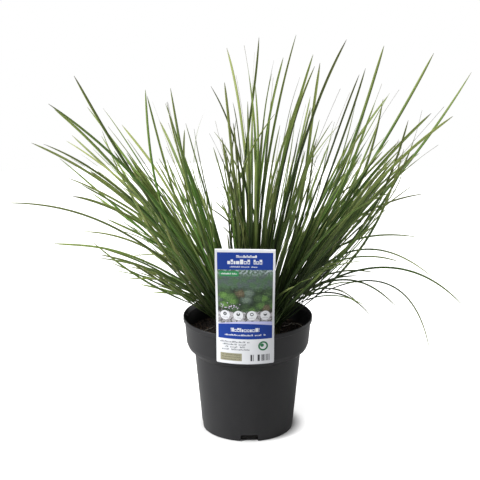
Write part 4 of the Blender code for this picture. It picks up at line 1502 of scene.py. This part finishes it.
class LABEL_OT_make(bpy.types.Operator):
    """Bend the printed card round the collar and fold its leg over the rim"""

    bl_idname = "mat_rush.make_label"
    bl_label = "Make Label"

    # The middle column of points, and how many columns the leg's edge is off it
    middle = 14
    leg_edge = 5

    def heights(self):
        """Heights of the panel's rows, closer together by its ends."""
        count = 56
        return [
            LABEL_FOOT + (LABEL_TOP - LABEL_FOOT) * (0.5 - 0.5 * math.cos(math.pi * step / count))
            for step in range(count + 1)
        ]

    def half_width(self, from_end, corner):
        """Half the card's width at a distance from one of its ends: less where a corner is round."""
        if from_end >= corner:
            return LABEL_WIDTH / 2
        return LABEL_WIDTH / 2 - corner + math.sqrt(max(0.0, corner**2 - (corner - from_end) ** 2))

    def spread(self, half):
        """Where the columns stand: those of the leg evenly on it, and the others out to the card's edge."""
        spread = []
        for offset in range(-self.middle, self.middle + 1):
            on_leg = LEG_WIDTH / 2 * offset / self.leg_edge
            beyond = (abs(offset) - self.leg_edge) / (self.middle - self.leg_edge)
            off_leg = math.copysign(LEG_WIDTH / 2 + (half - LEG_WIDTH / 2) * beyond, offset)
            spread.append(on_leg if abs(offset) <= self.leg_edge else off_leg)
        return spread

    def flap_line(self):
        """The flap as depth and height: over the fold and a little way down behind the panel."""
        line = []
        steps = 10
        for step in range(1, steps + 1):
            angle = math.pi * step / steps
            depth = -LABEL_STAND_OFF + LABEL_FOLD_RADIUS * (1 - math.cos(angle))
            line.append((depth, LABEL_TOP + LABEL_FOLD_RADIUS * math.sin(angle)))
        return line + between(line[-1], (-LEG_AT_FLAP, FLAP_FOOT), 9)

    def leg_line(self):
        """The leg as depth and height: from the flap down inside the rim and into the mix."""
        rim = (-LEG_AT_RIM, POT_HEIGHT + 4 * MM)
        bend = (-LEG_AT_FOOT, MIX_TOP + 3 * MM)
        line = between((-LEG_AT_FLAP, FLAP_FOOT), rim, 20)
        return line + between(rim, bend, 5) + between(bend, (-LEG_AT_FOOT, LEG_FOOT), 3)

    def rows(self, corner, leg):
        """Rows of points over the panel, the flap and the leg, each point with its place on the print."""
        rows = []
        for height in self.heights():
            half = self.half_width(height - LABEL_FOOT, corner)
            rows.append([(label_point(x, height), (x, height)) for x in self.spread(half)])
        for depth, height in self.flap_line():
            half = self.half_width(height - FLAP_FOOT, corner)
            rows.append([(Vector((x, depth, height)), (x, LABEL_TOP)) for x in self.spread(half)])
        for depth, height in self.leg_line():
            across = self.spread(LABEL_WIDTH / 2)[leg]
            rows.append([(Vector((x, depth, height)), (x, LABEL_TOP)) for x in across])
        return rows

    def sheet(self, corner):
        """The card as one sheet, with its print's UV map."""
        leg = slice(self.middle - self.leg_edge, self.middle + self.leg_edge + 1)
        sheet = bmesh.new()
        uv = sheet.loops.layers.uv.new("UVMap")
        places = {}
        before = []
        for row in self.rows(corner, leg):
            points = [sheet.verts.new(point) for point, _ in row]
            for point, (_, (x, height)) in zip(points, row):
                places[point] = (x / LABEL_WIDTH + 0.5, (height - LABEL_FOOT) / (LABEL_TOP - LABEL_FOOT))
            if len(points) < len(before):
                before = before[leg]
            for one, other, after, last in zip(before, before[1:], points[1:], points):
                sheet.faces.new((one, other, after, last))
            before = points
        for face in sheet.faces:
            for loop in face.loops:
                loop[uv].uv = places[loop.vert]
        mesh = bpy.data.meshes.new("label_card")
        sheet.to_mesh(mesh)
        sheet.free()
        return mesh

    def execute(self, context):
        settings = context.scene.rush_label
        label = placed("card_label", self.sheet(settings.corner))
        label.data.materials.append(label_front_material())
        label.data.materials.append(label_back_material())
        turn_mesh(label, LABEL_TURN)
        card = label.modifiers.new("card", "SOLIDIFY")
        card.thickness = settings.thickness
        card.offset = 0
        card.material_offset = 1
        card.material_offset_rim = 1
        apply_modifiers(label)
        soften(label.data, 50)
        dress_piece(label, "label_card", "plant_label")
        return {"FINISHED"}


class LEAVES_OT_make(bpy.types.Operator):
    """Grow a blade along each leaf of every shoot's solid, and thinner ones beside them"""

    bl_idname = "mat_rush.make_leaves"
    bl_label = "Make Leaves"

    def execute(self, context):
        settings = context.scene.rush_leaves
        finish = leaf_material("rush_leaf", True)
        tree = blade_tree()
        for number, node in enumerate(SHOOTS):
            chance = random.Random(settings.seed * 1000 + number)
            crowding = MIDDLE_SHARE if "middle" in node else 1.0
            blades = []
            leaves = read_leaves(node)
            for leaf in leaves:
                blades.append(dressed(leaf, node, chance))
                share = LOW_SHARE if lies_low(leaf) or leaf.arched else crowding
                count = int(settings.followers * share + chance.random())
                blades += [follower(leaf, node, chance, *FOLLOWER) for _ in range(count)]
                if not leaf.arched:
                    count = int(settings.short + chance.random())
                    blades += [follower(leaf, node, chance, *SHORT_LEAF) for _ in range(count)]
            blades += bunched(leaves, node, chance)
            for owner, width, places in BENT_LEAVES:
                if owner == node:
                    blades.append(bent_leaf(leaves[0].foot, width * MM, places, chance))
            name = node.replace("shoot", "leaves")
            piece = grown(name, path_mesh(name, blades), tree, {
                "Thickness": settings.thickness, "Section Points": SECTION_CORNERS, "Material": finish,
            })
            dress_piece(piece, "leaf", node)
        return {"FINISHED"}


def area_light(name, place, target, size, power):
    """A soft rectangular light that faces its target."""
    data = bpy.data.lights.new(name, "AREA")
    data.shape = "RECTANGLE"
    data.size, data.size_y = size
    data.energy = power
    light = placed(name, data)
    light.location = place
    light.rotation_mode = "QUATERNION"
    light.rotation_quaternion = (Vector(target) - Vector(place)).to_track_quat("-Z", "Y")


class STUDIO_OT_make(bpy.types.Operator):
    """Set up the pale floor, the soft lights and the camera"""

    bl_idname = "mat_rush.make_studio"
    bl_label = "Make Studio"

    def floor(self, colour, reach, glow):
        """A white sweep that looks a little brighter than the light that it gives back, except round the
        pot's foot, where a painted contact shadow is left.
        """
        made, board, shader = new_material("studio_floor", Roughness=0.9, Specular_IOR_Level=0.1)
        place = board.object_place()
        faint = board.noise(place, 3.0, 3.0)
        board.feed(shader.inputs["Base Color"], board.mix(faint, toned(colour, 0.985), colour))
        shader.inputs["Emission Color"].default_value = (1, 1, 1, 1)
        looked_at = board.node("ShaderNodeLightPath").outputs["Is Camera Ray"]
        # Painted contact shadow: no glow round the pot's foot
        clear = board.ramp(board.vector("LENGTH", place), BASE_RADIUS - 4 * MM, BASE_RADIUS + 22 * MM)
        board.feed(shader.inputs["Emission Strength"], board.times(board.times(looked_at, clear), glow))
        sides = 96
        turns = [math.tau * side / sides for side in range(sides)]
        edge = [Vector((reach * math.cos(turn), reach * math.sin(turn), 0)) for turn in turns]
        floor = placed("studio_floor", mesh_of("studio_floor", edge, [tuple(range(sides))]))
        floor.data.materials.append(made)

    def surround(self, strength):
        """A surround that looks white, and lights the plant less than it looks."""
        world = bpy.data.worlds.new("studio")
        world.use_nodes = True
        board = Board(world.node_tree)
        looked_at = board.node("ShaderNodeLightPath").outputs["Is Camera Ray"]
        backdrop = world.node_tree.nodes["Background"]
        backdrop.inputs["Color"].default_value = (1, 1, 1, 1)
        board.feed(backdrop.inputs["Strength"], board.ramp(looked_at, 0.0, 1.0, strength, 1.0))
        bpy.context.scene.world = world

    def camera(self):
        """The camera, at the front view's place and angle."""
        data = bpy.data.cameras.new("camera")
        data.lens = LENS
        data.sensor_width = SENSOR
        camera = placed("camera", data)
        camera.location = EYE
        camera.rotation_euler = (math.pi / 2 - LOOK_DOWN, 0, 0)
        bpy.context.scene.camera = camera

    def execute(self, context):
        settings = context.scene.rush_studio
        context.scene.view_settings.view_transform = "Standard"
        self.floor(settings.floor, settings.reach, settings.glow)
        self.surround(settings.sky)
        middle = (0, 0, 0.25)
        area_light("key_light", (-1.9, -0.8, 1.3), middle, (1.0, 1.0), settings.key)
        area_light("front_light", (-0.7, -2.1, 1.8), middle, (1.4, 1.0), settings.front)
        area_light("edge_light", (1.7, 0.8, 0.3), (0, 0, 0.1), (0.8, 0.5), settings.edge)
        overhead = bpy.data.lights.new("top_light", "SUN")
        overhead.energy = settings.top
        overhead.angle = math.radians(50)
        placed("top_light", overhead).rotation_euler = (math.radians(14), math.radians(-16), 0)
        self.camera()
        return {"FINISHED"}


class MATRUSH_PT_panel(bpy.types.Panel):
    """Lists the pieces and their settings"""

    bl_label = "Mat Rush"
    bl_idname = "MATRUSH_PT_panel"
    bl_space_type = "VIEW_3D"
    bl_region_type = "UI"
    bl_category = "Mat Rush"

    def draw(self, context):
        for group, _, operator in SECTIONS:
            box = self.layout.box()
            settings = getattr(context.scene, group)
            for name in settings.__annotations__:
                box.prop(settings, name)
            box.operator(operator.bl_idname)


SECTIONS = (
    ("rush_studio", StudioProperties, STUDIO_OT_make),
    ("rush_pot", PotProperties, POT_OT_make),
    ("rush_mix", MixProperties, MIX_OT_make),
    ("rush_label", LabelProperties, LABEL_OT_make),
    ("rush_leaves", LeafProperties, LEAVES_OT_make),
)


def register():
    for name, group, operator in SECTIONS:
        bpy.utils.register_class(group)
        setattr(bpy.types.Scene, name, bpy.props.PointerProperty(type=group))
        bpy.utils.register_class(operator)
    bpy.utils.register_class(MATRUSH_PT_panel)


def unregister():
    bpy.utils.unregister_class(MATRUSH_PT_panel)
    for name, group, operator in reversed(SECTIONS):
        bpy.utils.unregister_class(operator)
        delattr(bpy.types.Scene, name)
        bpy.utils.unregister_class(group)


def main():
    register()
    bpy.ops.mat_rush.make_studio()
    bpy.ops.mat_rush.make_pot()
    bpy.ops.mat_rush.make_mix()
    bpy.ops.mat_rush.make_label()
    bpy.ops.mat_rush.make_leaves()


if __name__ == "__main__":
    main()
